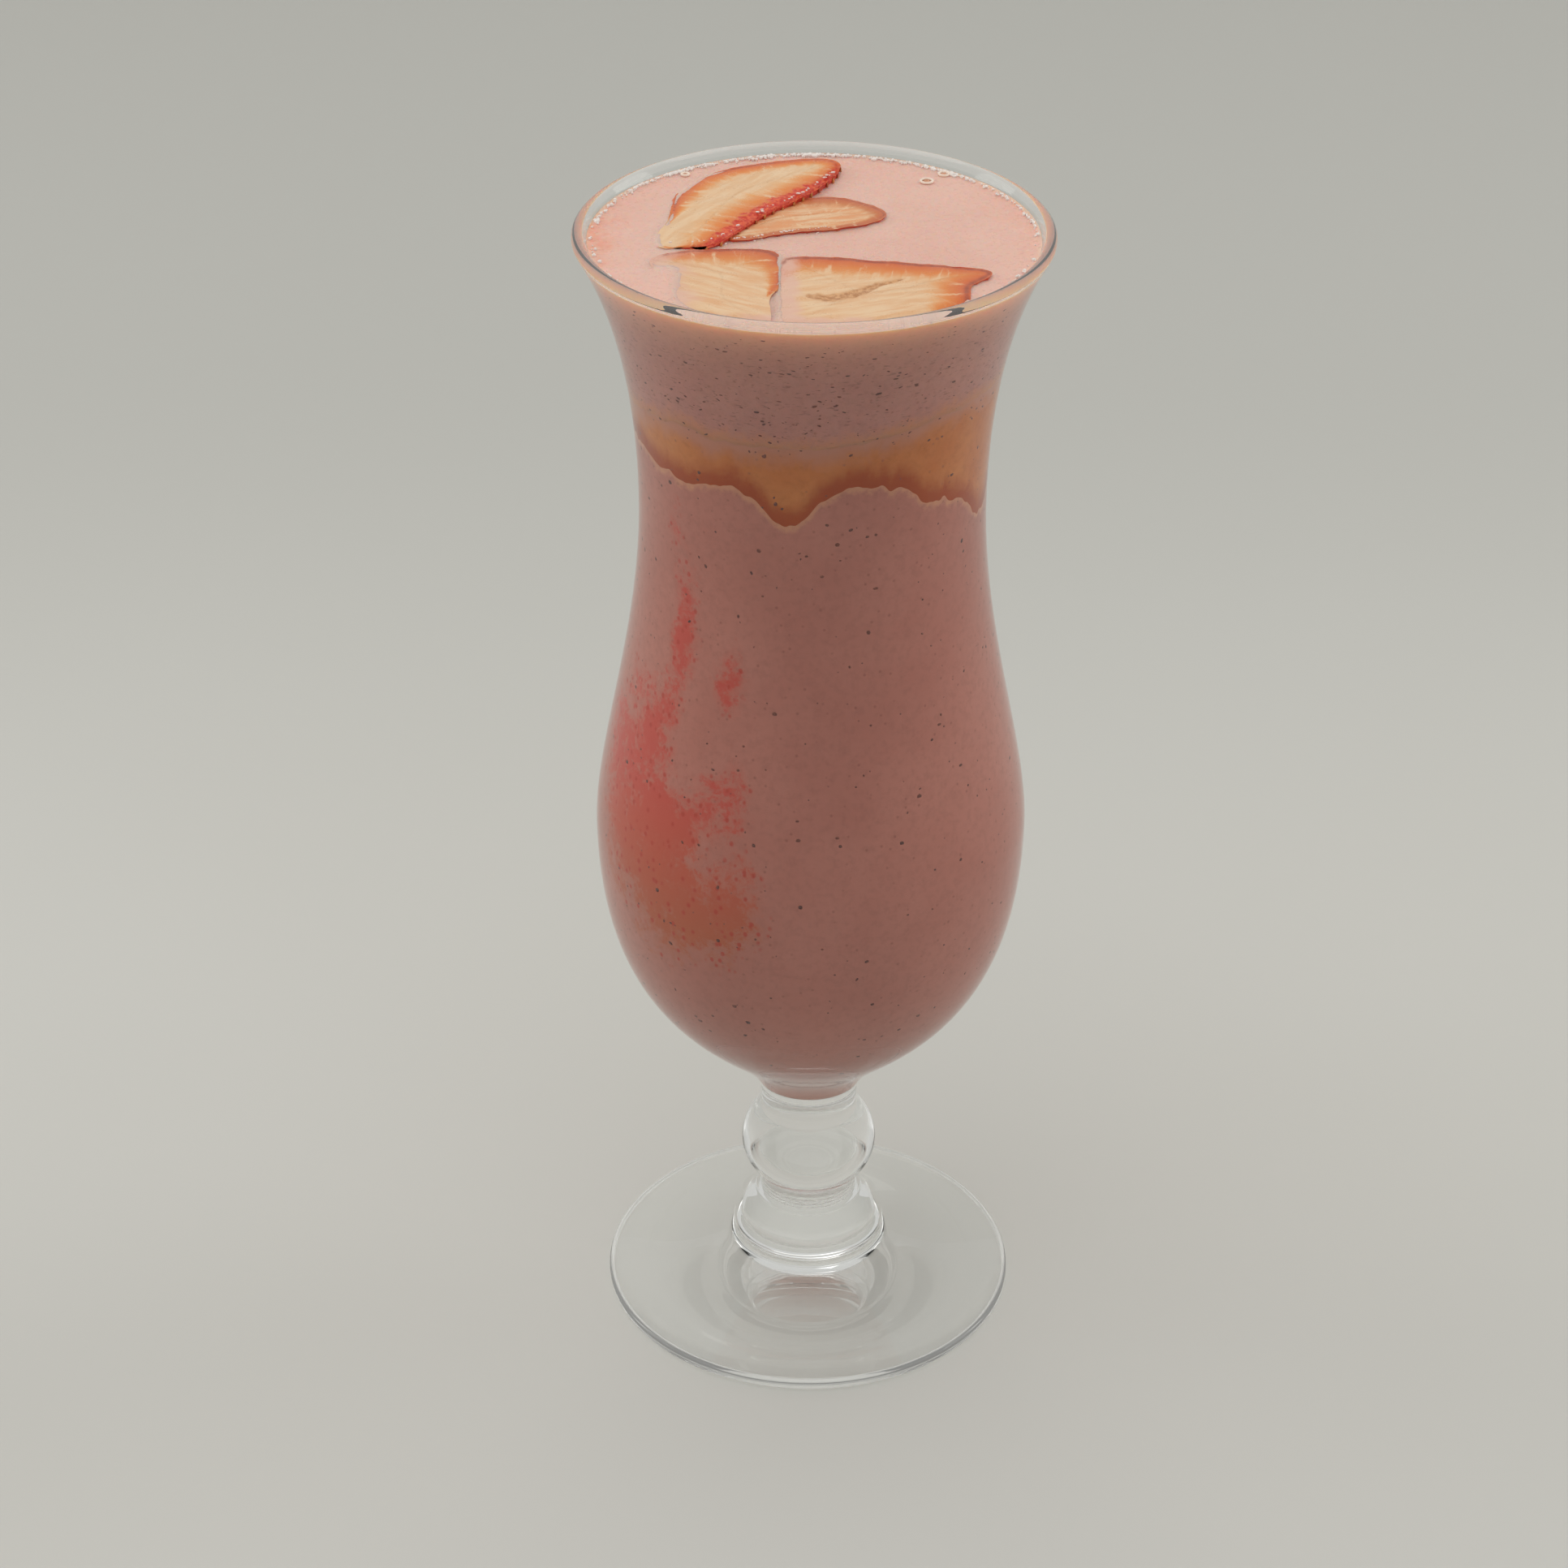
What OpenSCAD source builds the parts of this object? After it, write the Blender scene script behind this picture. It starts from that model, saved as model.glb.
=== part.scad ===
// Strawberry smoothie in a footed glass: three layers of drink and four berry slices on top.
// The origin is the middle of the foot, where the glass stands on the table. +Z is up, -Y is the front.

/* [Glass] */
// Height from the table to the top of the rim
glass_h = 210; // [175:1:255]
// Outer radius of the rim
rim_r = 39.1; // [32:0.1:47]
// Thickness of the glass at the rim
rim_wall = 2; // [1.4:0.1:3]
// Thickness of the bowl's wall
bowl_wall = 2.5; // [1.8:0.1:3.2]
// Outer radius of the bowl where it is widest
belly_r = 37.6; // [31:0.1:46]
// Outer radius of the narrow waist above the belly
waist_r = 29.1; // [24:0.1:35]

/* [Stem] */
// Outer radius of the collar under the bowl
collar_r = 9.6; // [8:0.1:11.6]
// Height of the collar's top, where the bowl begins
collar_z = 44.6; // [40:0.1:54]
// Thickness of the solid glass under the inside of the bowl
bowl_floor = 2.7; // [2:0.1:4]
// Radius of the neck above the ball
neck_r = 8.8; // [7.4:0.1:10.6]
// Largest radius of the ball
ball_r = 12.3; // [11.2:0.1:15]
// Half of the ball's full height
ball_half_h = 10.4; // [8.6:0.1:11.6]
// Height of the ball's middle
ball_z = 30.2; // [29:0.1:32]
// Radius of the neck below the ball
low_neck_r = 8.7; // [7.3:0.1:10.5]

/* [Foot] */
// Outer radius of the foot
foot_r = 37.5; // [31:0.1:46]
// Thickness of the foot at its rounded edge
foot_edge = 2.4; // [1.8:0.1:3.2]
// Height of the foot where its sweep up to the bell begins
foot_rise = 8.6; // [7.2:0.1:9.4]
// Radius of the bell's lower step
bell_r = 13.9; // [13.2:0.1:16.6]
// Radius of the bell's upper step
bell_top_r = 12.5; // [11.4:0.1:12.9]
// Depth of the hollow under the foot
foot_hollow = 1.1; // [0.5:0.1:1.6]
// Width of the flat ring that the foot stands on
foot_ring = 6; // [4:0.5:12]

/* [Drink] */
// Distance from the top of the rim down to the drink
fill_gap = 1.8; // [1.2:0.1:8]
// Least thickness of the pink layer on top
cap_depth = 20; // [14:0.5:28]
// Least thickness of the orange layer
band_depth = 11; // [7:0.5:16]

/* [Large slice at the back] */
// Length from stalk end to tip
back_large_len = 44; // [36:0.5:53]
// Width across
back_large_w = 20; // [16:0.5:24]
// Thickness
back_large_t = 4; // [3.2:0.1:4.8]
// Height of its middle above the drink
back_large_lift = 1.1; // [0.9:0.1:2]
// Tilt about its length, with the side that lies on the small slice up
back_large_tilt = 4; // [2:0.5:6]

/* [Small slice at the back] */
// Length from stalk end to tip
back_small_len = 27; // [22:0.5:33]
// Width across
back_small_w = 13; // [10:0.5:16]
// Thickness
back_small_t = 3; // [2.4:0.1:3.6]

/* [Right slice at the front] */
// Length from stalk end to tip
front_right_len = 37; // [30:0.5:44]
// Width across
front_right_w = 29; // [24:0.5:35]
// Thickness
front_right_t = 3.5; // [2.8:0.1:4.2]

/* [Left slice at the front] */
// Length from stalk end to tip
front_left_len = 28; // [23:0.5:34]
// Width across
front_left_w = 26; // [21:0.5:31]
// Thickness
front_left_t = 3.5; // [2.8:0.1:4.2]

/* [Slices] */
// Height of a floating slice above the drink
slice_proud = 0.5; // [0.3:0.1:0.9]
// Clearance between a slice and the glass
slice_wall_gap = 0.4; // [0.2:0.1:1]
// Gap between neighbouring slices that float side by side
slice_gap = 0.3; // [0.2:0.1:1]

/* [Hidden] */

// Fineness
curve_steps = 18;
arc_steps = 8;
ball_steps = 16;
lathe_fn = 96;
smooth_steps = 4;
wave_steps = 60;

// Bowl: where the belly and the waist lie between the collar and the rim
belly_share = 0.334;
waist_share = 0.71;
bowl_h = glass_h - collar_z;
belly_z = collar_z + belly_share * bowl_h;
waist_z = collar_z + waist_share * bowl_h;
// Direction in which the wall leaves the collar, and how far the rim leans out
collar_climb = 60;
rim_lean = 30;
// Lengths of the curve handles, as shares of the height between two of the bowl's stations
collar_pull = 0.285;
belly_pull_low = 0.71;
belly_pull_high = 0.228;
waist_pull_low = 0.404;
waist_pull_high = 0.38;
rim_pull = 0.3;

// Middle of the rounded lip
lip_r = rim_wall / 2;
lip_at = [rim_r - lip_r, glass_h - lip_r];

// Foot: its rounded edge, and the slopes and curve handles of its top at the edge and at the bell
foot_edge_r = foot_edge / 2;
foot_turn = 75;
foot_slope_out = 12;
foot_slope_in = 24;
foot_pull_out = 0.28;
foot_pull_in = 0.5;
ring_in_r = foot_r - foot_edge_r - foot_ring;
hollow_pull = 0.1;
hollow_flat = 0.5;

// Bell: a sweep up from the foot, then two steps with small rounds, then the curve up to the neck
sweep_w = 2.6;
sweep_h = 2.9;
sweep_pull = 1.8;
step_h = 1.6;
step_round = 0.3;
bell_z = foot_rise + sweep_h;
bell_top_z = bell_z + step_h;
bell_side_pull = 2.5;
bell_shoulder = [2, -1.9];

// Necks: where the bell ends below the lower neck, how far the ball reaches down, and the collar's round
neck_h = 1.3;
neck_flare = 0.2;
ball_reach = 9.3;
low_neck_z = ball_z - ball_reach;
bell_end = [low_neck_r + neck_flare, low_neck_z - neck_h];
collar_round = [0.3, 0.6];

// Drink
level = glass_h - fill_gap;
cap_z = level - cap_depth;
band_z = cap_z - band_depth;
cap_mid_drop = 2;
band_mid_drop = 5;
// Each sag of a layer: direction in degrees from the front towards the right, depth, half width in degrees
cap_sags = [[-90, 5.5, 42], [-10, 3.6, 40], [165, 4, 50]];
band_sags = [[-52, 2.6, 22], [-9.5, 7, 11.5], [42, 4.6, 12], [75, 13.5, 22],
             [135, 5, 24], [-172, 9, 17], [-120, 6, 24]];

function bezier(a, b, c, d, n) =
    [for (i = [0:n]) let(t = i / n, s = 1 - t) s*s*s * a + 3*s*s*t * b + 3*s*t*t * c + t*t*t * d];
function toward(angle) = [cos(angle), sin(angle)];
function arc(centre, r, from, to, n) =
    [for (i = [0:n]) centre + r * toward(from + (to - from) * i / n)];
// The points of a list without its first one, so that two curves share a point once
function rest(list) = [for (i = [1:len(list) - 1]) list[i]];

// Outer side of the bowl, from the collar up to the lip
low_h = belly_z - collar_z;
mid_h = waist_z - belly_z;
lip_start = lip_at + lip_r * toward(-rim_lean);
top_h = lip_start[1] - waist_z;
bowl_low = bezier([collar_r, collar_z], [collar_r, collar_z] + collar_pull * low_h * toward(collar_climb),
                  [belly_r, belly_z - belly_pull_low * low_h], [belly_r, belly_z], curve_steps);
bowl_mid = bezier([belly_r, belly_z], [belly_r, belly_z + belly_pull_high * mid_h],
                  [waist_r, waist_z - waist_pull_low * mid_h], [waist_r, waist_z], curve_steps);
bowl_top = bezier([waist_r, waist_z], [waist_r, waist_z + waist_pull_high * top_h],
                  lip_start - rim_pull * top_h * toward(90 - rim_lean), lip_start, curve_steps);
bowl_out = concat(bowl_low, rest(bowl_mid), rest(bowl_top));

// Inner side of the bowl: the outer side moved in by the wall, which thins towards the rim
last = len(bowl_out) - 1;
function unit(v) = v / norm(v);
function along(i) = i == 0 ? toward(collar_climb) : i == last ? toward(90 - rim_lean)
    : unit(bowl_out[i + 1] - bowl_out[i - 1]);
function wall_at(z) = bowl_wall + (rim_wall - bowl_wall) * max(0, (z - waist_z) / (glass_h - waist_z));
bowl_in = [for (i = [0:last]) let(d = along(i)) bowl_out[i] + wall_at(bowl_out[i][1]) * [-d[1], d[0]]];

// Inside of the bowl's floor, from the axis out to the wall
floor_z = collar_z - bowl_floor + bowl_wall;
floor_flat = 0.55;
floor_pull = 0.5;
bowl_base = bezier([0, floor_z], [bowl_in[0][0] * floor_flat, floor_z],
                   bowl_in[0] - floor_pull * bowl_wall * toward(collar_climb), bowl_in[0], arc_steps);
cavity = concat(bowl_base, rest(bowl_in));

// Inside radius of the glass at a height
function cavity_r(z) = lookup(z, [for (p = bowl_in) [p[1], p[0]]]);

// Slices: middle and direction of each, as placed on a surface of this radius and moved with it
placed_for_r = 37;
spread = cavity_r(level) / placed_for_r;
back_large_at = [-13.7, 15.3] * spread;
back_large_turn = 57;
back_small_at = [-2.5, 8.2] * spread;
back_small_turn = 17;
front_right_at = [9.5, -20.8] * spread;
front_right_turn = 20;
front_left_at = [-14.2, -18.5] * spread;
front_left_turn = 150;
// Lines on the surface where the slices part: front from back, and left from right at the front
part_y = -5.6 * spread;
part_x = -5.6 * spread;
// Reach of the trimming shapes above and below the drink's surface
trim_reach = 7;

// Slice outlines, as shares of length and width, from the tip round to the tip
back_large_shape = [[0.49, -0.15], [0.45, -0.4], [0.2, -0.49], [-0.1, -0.43], [-0.38, -0.42],
                    [-0.49, -0.25], [-0.48, 0.02], [-0.28, 0.18], [-0.06, 0.43], [0.15, 0.49], [0.35, 0.24]];
back_small_shape = [[0.5, -0.25], [0.38, -0.43], [0.18, -0.49], [-0.15, -0.45], [-0.42, -0.5],
                    [-0.5, -0.32], [-0.3, 0.3], [0, 0.5], [0.28, 0.42], [0.44, 0.12]];
front_right_shape = [[0.5, -0.02], [0.37, -0.17], [0.28, -0.39], [0.07, -0.5], [-0.15, -0.5], [-0.38, -0.42],
                     [-0.5, -0.28], [-0.46, -0.08], [-0.37, 0.2], [-0.29, 0.44], [-0.19, 0.5], [0.17, 0.25]];
front_left_shape = [[0.5, -0.05], [0.41, -0.24], [0.1, -0.48], [-0.06, -0.48], [-0.19, -0.34], [-0.28, -0.1],
                    [-0.33, 0.12], [-0.48, 0.4], [-0.4, 0.5], [-0.17, 0.5], [0.04, 0.43], [0.38, 0.1]];

// Sum of the sags at a direction, each wrapped round the circle
function wrapped(a) = a - 360 * round(a / 360);
function sag(sags, a, i = 0) = i == len(sags) ? 0
    : sags[i][1] * exp(-pow(wrapped(a - sags[i][0]) / sags[i][2], 2)) + sag(sags, a, i + 1);

// Stem and foot, from the foot's flat ring up to the collar
ball_low = asin(-sqrt(1 - pow(low_neck_r / ball_r, 2)));
ball_high = asin(sqrt(1 - pow(neck_r / ball_r, 2)));
foot_out = arc([foot_r - foot_edge_r, foot_edge_r], foot_edge_r, -90, foot_turn, arc_steps);
foot_end = foot_out[arc_steps];
foot_in = [bell_r + sweep_w, foot_rise];
foot_run = foot_end[0] - foot_in[0];
foot_top = bezier(foot_end, foot_end + foot_pull_out * foot_run * toward(180 - foot_slope_out),
                  foot_in + foot_pull_in * foot_run * toward(-foot_slope_in), foot_in, arc_steps);
sweep_end = [bell_r, bell_z - step_round];
sweep = bezier(foot_in, foot_in + sweep_pull * toward(180 - foot_slope_in),
               sweep_end - [0, sweep_pull], sweep_end, arc_steps);
bell_step = [[bell_r - step_round, bell_z], [bell_top_r + step_round, bell_top_z - step_round]];
bell = bezier([bell_top_r, bell_top_z], [bell_top_r - step_round, bell_top_z + bell_side_pull],
              bell_end + bell_shoulder, bell_end, arc_steps);
ball = [for (i = [0:ball_steps]) let(a = ball_low + (ball_high - ball_low) * i / ball_steps)
        [ball_r * cos(a), ball_z + ball_half_h * sin(a)]];
collar = [[neck_r, collar_z - bowl_floor], [collar_r, collar_z] - collar_round];
underside = bezier([ring_in_r, 0], [ring_in_r * (1 - hollow_pull), foot_hollow],
                   [ring_in_r * hollow_flat, foot_hollow], [0, foot_hollow], arc_steps);

// A closed smooth curve through a list of points
function between(a, b, c, d, t) =
    (2*b + (c - a) * t + (2*a - 5*b + 4*c - d) * t*t + (3*b - a - 3*c + d) * t*t*t) / 2;
function smooth(p) = let(n = len(p)) [
    for (i = [0:n - 1]) for (k = [0:smooth_steps - 1])
        between(p[(i + n - 1) % n], p[i], p[(i + 1) % n], p[(i + 2) % n], k / smooth_steps)];

// One slice, laid with its top above the drink and kept clear of the flaring wall
module slab(shape, length, width, thick, at, turn, top, tilt = 0) {
    outline = smooth([for (p = shape) [p[0] * length, p[1] * width]]);
    low_r = cavity_r(level - trim_reach) - slice_wall_gap;
    high_r = 2 * (cavity_r(level) - slice_wall_gap) - low_r;
    intersection() {
        translate([at[0], at[1], level + top])
            rotate([-tilt, 0, turn]) translate([0, 0, -thick]) linear_extrude(thick) polygon(outline);
        translate([0, 0, level - trim_reach])
            cylinder(h = 2 * trim_reach, r1 = low_r, r2 = high_r, $fn = lathe_fn);
    }
}

// The quarter of the surface that lies on one side of a line across and of a line from front to back
module part_box(x, y, toward_x, toward_y) {
    side = 2 * rim_r;
    translate([toward_x > 0 ? x : x - side, toward_y > 0 ? y : y - side, level - trim_reach])
        cube([side, side, 2 * trim_reach]);
}

module back_large_slab() {
    intersection() {
        slab(back_large_shape, back_large_len, back_large_w, back_large_t,
             back_large_at, back_large_turn, back_large_lift, back_large_tilt);
        part_box(-rim_r, part_y + slice_gap / 2, 1, 1);
    }
}

module back_small_slab() {
    intersection() {
        slab(back_small_shape, back_small_len, back_small_w, back_small_t,
             back_small_at, back_small_turn, slice_proud);
        part_box(-rim_r, part_y + slice_gap / 2, 1, 1);
    }
}

module front_right_slab() {
    intersection() {
        slab(front_right_shape, front_right_len, front_right_w, front_right_t,
             front_right_at, front_right_turn, slice_proud);
        part_box(part_x + slice_gap / 2, part_y - slice_gap / 2, 1, -1);
    }
}

module front_left_slab() {
    intersection() {
        slab(front_left_shape, front_left_len, front_left_w, front_left_t,
             front_left_at, front_left_turn, slice_proud);
        part_box(part_x - slice_gap / 2, part_y - slice_gap / 2, -1, -1);
    }
}

// Everything below a layer's uneven top, which falls or rises straight from the middle to the wall
module below(z, mid_drop, sags) {
    reach = belly_r + rim_r;
    function rim_point(r, i) = let(a = 360 * i / wave_steps) [r * sin(a), -r * cos(a), z - sag(sags, a)];
    middle = [[0, 0, z - mid_drop]];
    wall_ring = [for (i = [0:wave_steps - 1]) rim_point(waist_r, i)];
    far_ring = [for (i = [0:wave_steps - 1]) rim_point(reach, i)];
    low_ring = [for (p = far_ring) [p[0], p[1], 0]];
    n = wave_steps;
    polyhedron(concat(middle, wall_ring, far_ring, low_ring), concat(
        [for (i = [0:n - 1]) let(j = (i + 1) % n) [0, 1 + j, 1 + i]],
        [for (i = [0:n - 1]) let(j = (i + 1) % n) [1 + i, 1 + j, 1 + n + j]],
        [for (i = [0:n - 1]) let(j = (i + 1) % n) [1 + i, 1 + n + j, 1 + n + i]],
        [for (i = [0:n - 1]) let(j = (i + 1) % n) [1 + n + i, 1 + n + j, 1 + 2*n + j, 1 + 2*n + i]],
        [[for (i = [0:n - 1]) 1 + 2*n + i]]));
}

module drink_body() {
    full = [for (p = cavity) if (p[1] < level) p];
    rotate_extrude($fn = lathe_fn) polygon(concat(full, [[cavity_r(level), level], [0, level]]));
}

module glass() {
    inner = [for (i = [len(cavity) - 1:-1:0]) cavity[i]];
    lip = arc(lip_at, lip_r, -rim_lean, 180 - rim_lean, arc_steps);
    under = [for (i = [arc_steps:-1:0]) underside[i]];
    color([0.86, 0.89, 0.88, 0.35]) rotate_extrude($fn = lathe_fn)
        polygon(concat(under, foot_out, rest(foot_top), rest(sweep), bell_step, bell, ball, collar,
                       bowl_out, rest(lip), rest(inner)));
}

module smoothie_lower() {
    color([0.86, 0.56, 0.53]) intersection() {
        drink_body();
        below(band_z, band_mid_drop, band_sags);
    }
}

module orange_layer() {
    color([0.86, 0.62, 0.38]) difference() {
        intersection() {
            drink_body();
            below(cap_z, cap_mid_drop, cap_sags);
        }
        below(band_z, band_mid_drop, band_sags);
    }
}

module smoothie_upper() {
    color([0.9, 0.66, 0.6]) difference() {
        drink_body();
        below(cap_z, cap_mid_drop, cap_sags);
        back_large_slab();
        back_small_slab();
        front_right_slab();
        front_left_slab();
    }
}

module slice_back_small() {
    color([0.9, 0.5, 0.36]) back_small_slab();
}

module slice_back_large() {
    color([0.88, 0.4, 0.28]) difference() {
        back_large_slab();
        back_small_slab();
    }
}

module slice_front_right() {
    color([0.93, 0.68, 0.5]) front_right_slab();
}

module slice_front_left() {
    color([0.93, 0.62, 0.48]) front_left_slab();
}

glass();
smoothie_lower();
orange_layer();
smoothie_upper();
slice_back_large();
slice_back_small();
slice_front_right();
slice_front_left();
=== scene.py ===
"""Strawberry smoothie in its glass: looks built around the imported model, in metres."""
import math

import bpy
import numpy as np
from mathutils import Matrix, Vector, noise
from mathutils.geometry import delaunay_2d_cdt


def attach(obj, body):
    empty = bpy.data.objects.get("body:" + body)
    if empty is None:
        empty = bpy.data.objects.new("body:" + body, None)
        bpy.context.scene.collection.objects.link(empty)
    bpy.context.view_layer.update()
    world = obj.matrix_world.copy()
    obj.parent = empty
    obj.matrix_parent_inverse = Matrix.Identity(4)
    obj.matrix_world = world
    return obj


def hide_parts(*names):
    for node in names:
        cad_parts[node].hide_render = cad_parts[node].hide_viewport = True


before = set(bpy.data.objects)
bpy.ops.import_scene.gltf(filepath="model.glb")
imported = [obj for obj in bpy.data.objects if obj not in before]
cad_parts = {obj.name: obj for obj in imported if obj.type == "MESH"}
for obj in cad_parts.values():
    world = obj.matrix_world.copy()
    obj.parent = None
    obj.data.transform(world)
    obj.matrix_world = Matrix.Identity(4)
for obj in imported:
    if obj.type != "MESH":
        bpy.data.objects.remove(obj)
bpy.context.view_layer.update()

# ---------------- sizes, in millimetres as in the CAD source
MM = 0.001
GLASS_H = 210.0
RIM_R = 39.1
RIM_WALL = 2.0
BOWL_WALL = 2.5
BELLY_R = 37.6
WAIST_R = 29.1
COLLAR_R = 9.6
COLLAR_Z = 44.6
BOWL_FLOOR = 2.7
NECK_R = 8.8
BALL_R = 12.3
BALL_HALF_H = 10.4
BALL_Z = 30.2
LOW_NECK_R = 8.7
LOW_NECK_Z = BALL_Z - 9.3
FOOT_R = 37.5
FOOT_EDGE = 2.4
FOOT_RISE = 8.6
BELL_R = 13.9
BELL_TOP_R = 12.5
FOOT_HOLLOW = 1.1
FOOT_RING = 6.0
LEVEL = GLASS_H - 1.8
CAP_Z = LEVEL - 20.0
BAND_Z = CAP_Z - 11.0
BELLY_Z = COLLAR_Z + 0.334 * (GLASS_H - COLLAR_Z)
WAIST_Z = COLLAR_Z + 0.71 * (GLASS_H - COLLAR_Z)
BELL_SIDE_H = 2.9
BELL_TOP_H = 4.5
NECK_RIDGES = (18.9, 19.9, 20.6)
RIDGE_RISE, RIDGE_WIDTH = 0.12, 0.14
# The bowl leaves the collar and meets the lip at this angle
BOWL_SLOPE = 60
# How far the drink's looks reach into the glass, so that no air gap shows
REACH = 0.35
# How far the drink's side and the edge of its top stand above the level
CLIMB = 0.12

rng = np.random.default_rng(7)


# ---------------- curves
def bezier(a, b, c, d, n):
    t = np.linspace(0, 1, n + 1)[:, None]
    s = 1 - t
    a, b, c, d = (np.array(p, float) for p in (a, b, c, d))
    return s**3 * a + 3 * s * s * t * b + 3 * s * t * t * c + t**3 * d


def toward(angle):
    """A unit vector at an angle in degrees."""
    return np.array([math.cos(math.radians(angle)), math.sin(math.radians(angle))])


def arc(centre, r, start, end, n):
    return np.array([np.array(centre) + r * toward(start + (end - start) * i / n) for i in range(n + 1)])


def curve_through(points, steps):
    """A closed smooth curve through a list of points, with this many steps from each to the next."""
    p = np.array(points, float)
    out = []
    for i in range(len(p)):
        a, b, c, d = p[i - 1], p[i], p[(i + 1) % len(p)], p[(i + 2) % len(p)]
        for k in range(steps):
            t = k / steps
            out.append(0.5 * (2 * b + (c - a) * t + (2 * a - 5 * b + 4 * c - d) * t * t
                              + (3 * b - a - 3 * c + d) * t**3))
    return np.array(out)


# ---------------- the glass's outline
FINE = 64
low_h, mid_h = BELLY_Z - COLLAR_Z, WAIST_Z - BELLY_Z
lip_r = RIM_WALL / 2
lip_at = np.array([RIM_R - lip_r, GLASS_H - lip_r])
lip_start = lip_at + lip_r * toward(BOWL_SLOPE - 90)
top_h = lip_start[1] - WAIST_Z
bowl_foot = np.array([COLLAR_R, COLLAR_Z])
bowl_low = bezier(bowl_foot, bowl_foot + 0.285 * low_h * toward(BOWL_SLOPE),
                  [BELLY_R, BELLY_Z - 0.71 * low_h], [BELLY_R, BELLY_Z], FINE)
bowl_mid = bezier([BELLY_R, BELLY_Z], [BELLY_R, BELLY_Z + 0.228 * mid_h],
                  [WAIST_R, WAIST_Z - 0.404 * mid_h], [WAIST_R, WAIST_Z], FINE)
bowl_top = bezier([WAIST_R, WAIST_Z], [WAIST_R, WAIST_Z + 0.38 * top_h],
                  lip_start - 0.3 * top_h * toward(BOWL_SLOPE), lip_start, FINE)
bowl_out = np.vstack([bowl_low, bowl_mid[1:], bowl_top[1:]])
tangent = np.gradient(bowl_out, axis=0)
tangent /= np.linalg.norm(tangent, axis=1)[:, None]
above_waist = np.clip((bowl_out[:, 1] - WAIST_Z) / (GLASS_H - WAIST_Z), 0, 1)
wall = BOWL_WALL + (RIM_WALL - BOWL_WALL) * above_waist
bowl_in = bowl_out + wall[:, None] * np.c_[-tangent[:, 1], tangent[:, 0]]
FLOOR_Z = COLLAR_Z - BOWL_FLOOR + BOWL_WALL
bowl_base = bezier([0, FLOOR_Z], [bowl_in[0][0] * 0.55, FLOOR_Z],
                   bowl_in[0] - 0.5 * BOWL_WALL * toward(BOWL_SLOPE), bowl_in[0], 20)
cavity = np.vstack([bowl_base, bowl_in[1:]])


def cavity_r(z):
    """The bowl's inner radius at a height."""
    return np.interp(z, bowl_in[:, 1], bowl_in[:, 0])


# ---------------- mesh helpers
def add_object(name, data):
    obj = bpy.data.objects.new(name, data)
    bpy.context.scene.collection.objects.link(obj)
    return obj


def smooth_mesh(name, verts_mm, faces, materials):
    """A mesh in metres with every face shaded smooth."""
    mesh = bpy.data.meshes.new(name)
    mesh.from_pydata((np.asarray(verts_mm, float) * MM).tolist(), [], faces)
    for m in materials:
        mesh.materials.append(m)
    mesh.polygons.foreach_set("use_smooth", np.ones(len(mesh.polygons), bool))
    return mesh


def make_piece(name, verts_mm, faces, materials, node=None, attrs=None, face_mats=None):
    """A piece riding on the root body, which stands for a CAD node if it is given one."""
    mesh = smooth_mesh(name, verts_mm, faces, materials)
    if face_mats is not None:
        mesh.polygons.foreach_set("material_index", np.asarray(face_mats, np.int32))
    for key, values in (attrs or {}).items():
        layer = mesh.attributes.new(key, "FLOAT", "POINT")
        layer.data.foreach_set("value", np.asarray(values, np.float32))
    mesh.validate()
    mesh.update()
    obj = add_object(name, mesh)
    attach(obj, "root")
    if node:
        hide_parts(node)
    return obj


def ring_faces(starts, counts):
    """Faces between consecutive rings; a ring of one vertex is a pole."""
    faces = []
    for (a, na), (b, nb) in zip(zip(starts, counts), zip(starts[1:], counts[1:])):
        n = max(na, nb)
        for i in range(n):
            j = (i + 1) % n
            if na == 1:
                faces.append((a, b + j, b + i))
            elif nb == 1:
                faces.append((a + i, a + j, b))
            else:
                faces.append((a + i, a + j, b + j, b + i))
    return faces


def lathe(profile, segments):
    """Vertices and faces of a profile of (r, z) turned about Z."""
    angles = np.linspace(0, 2 * math.pi, segments, endpoint=False)
    verts, starts, counts = [], [], []
    for r, z in profile:
        starts.append(len(verts))
        if r < 1e-6:
            verts.append((0, 0, z))
            counts.append(1)
        else:
            verts.extend((r * math.sin(a), -r * math.cos(a), z) for a in angles)
            counts.append(segments)
    return np.array(verts), ring_faces(starts, counts)


def rings_mesh(rings):
    """Vertices and faces of a list of rings, each an (n, 3) array or a single point."""
    starts, counts, verts = [], [], []
    for ring in rings:
        ring = np.atleast_2d(ring)
        starts.append(sum(len(v) for v in verts))
        counts.append(len(ring))
        verts.append(ring)
    return np.vstack(verts), ring_faces(starts, counts)


def joined(parts):
    """Several (vertices, faces) in one mesh, with no shared vertices, so their common edges stay crisp."""
    verts, faces, count = [], [], 0
    for v, f in parts:
        verts.append(v)
        faces += [tuple(i + count for i in face) for face in f]
        count += len(v)
    return np.vstack(verts), faces


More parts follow.
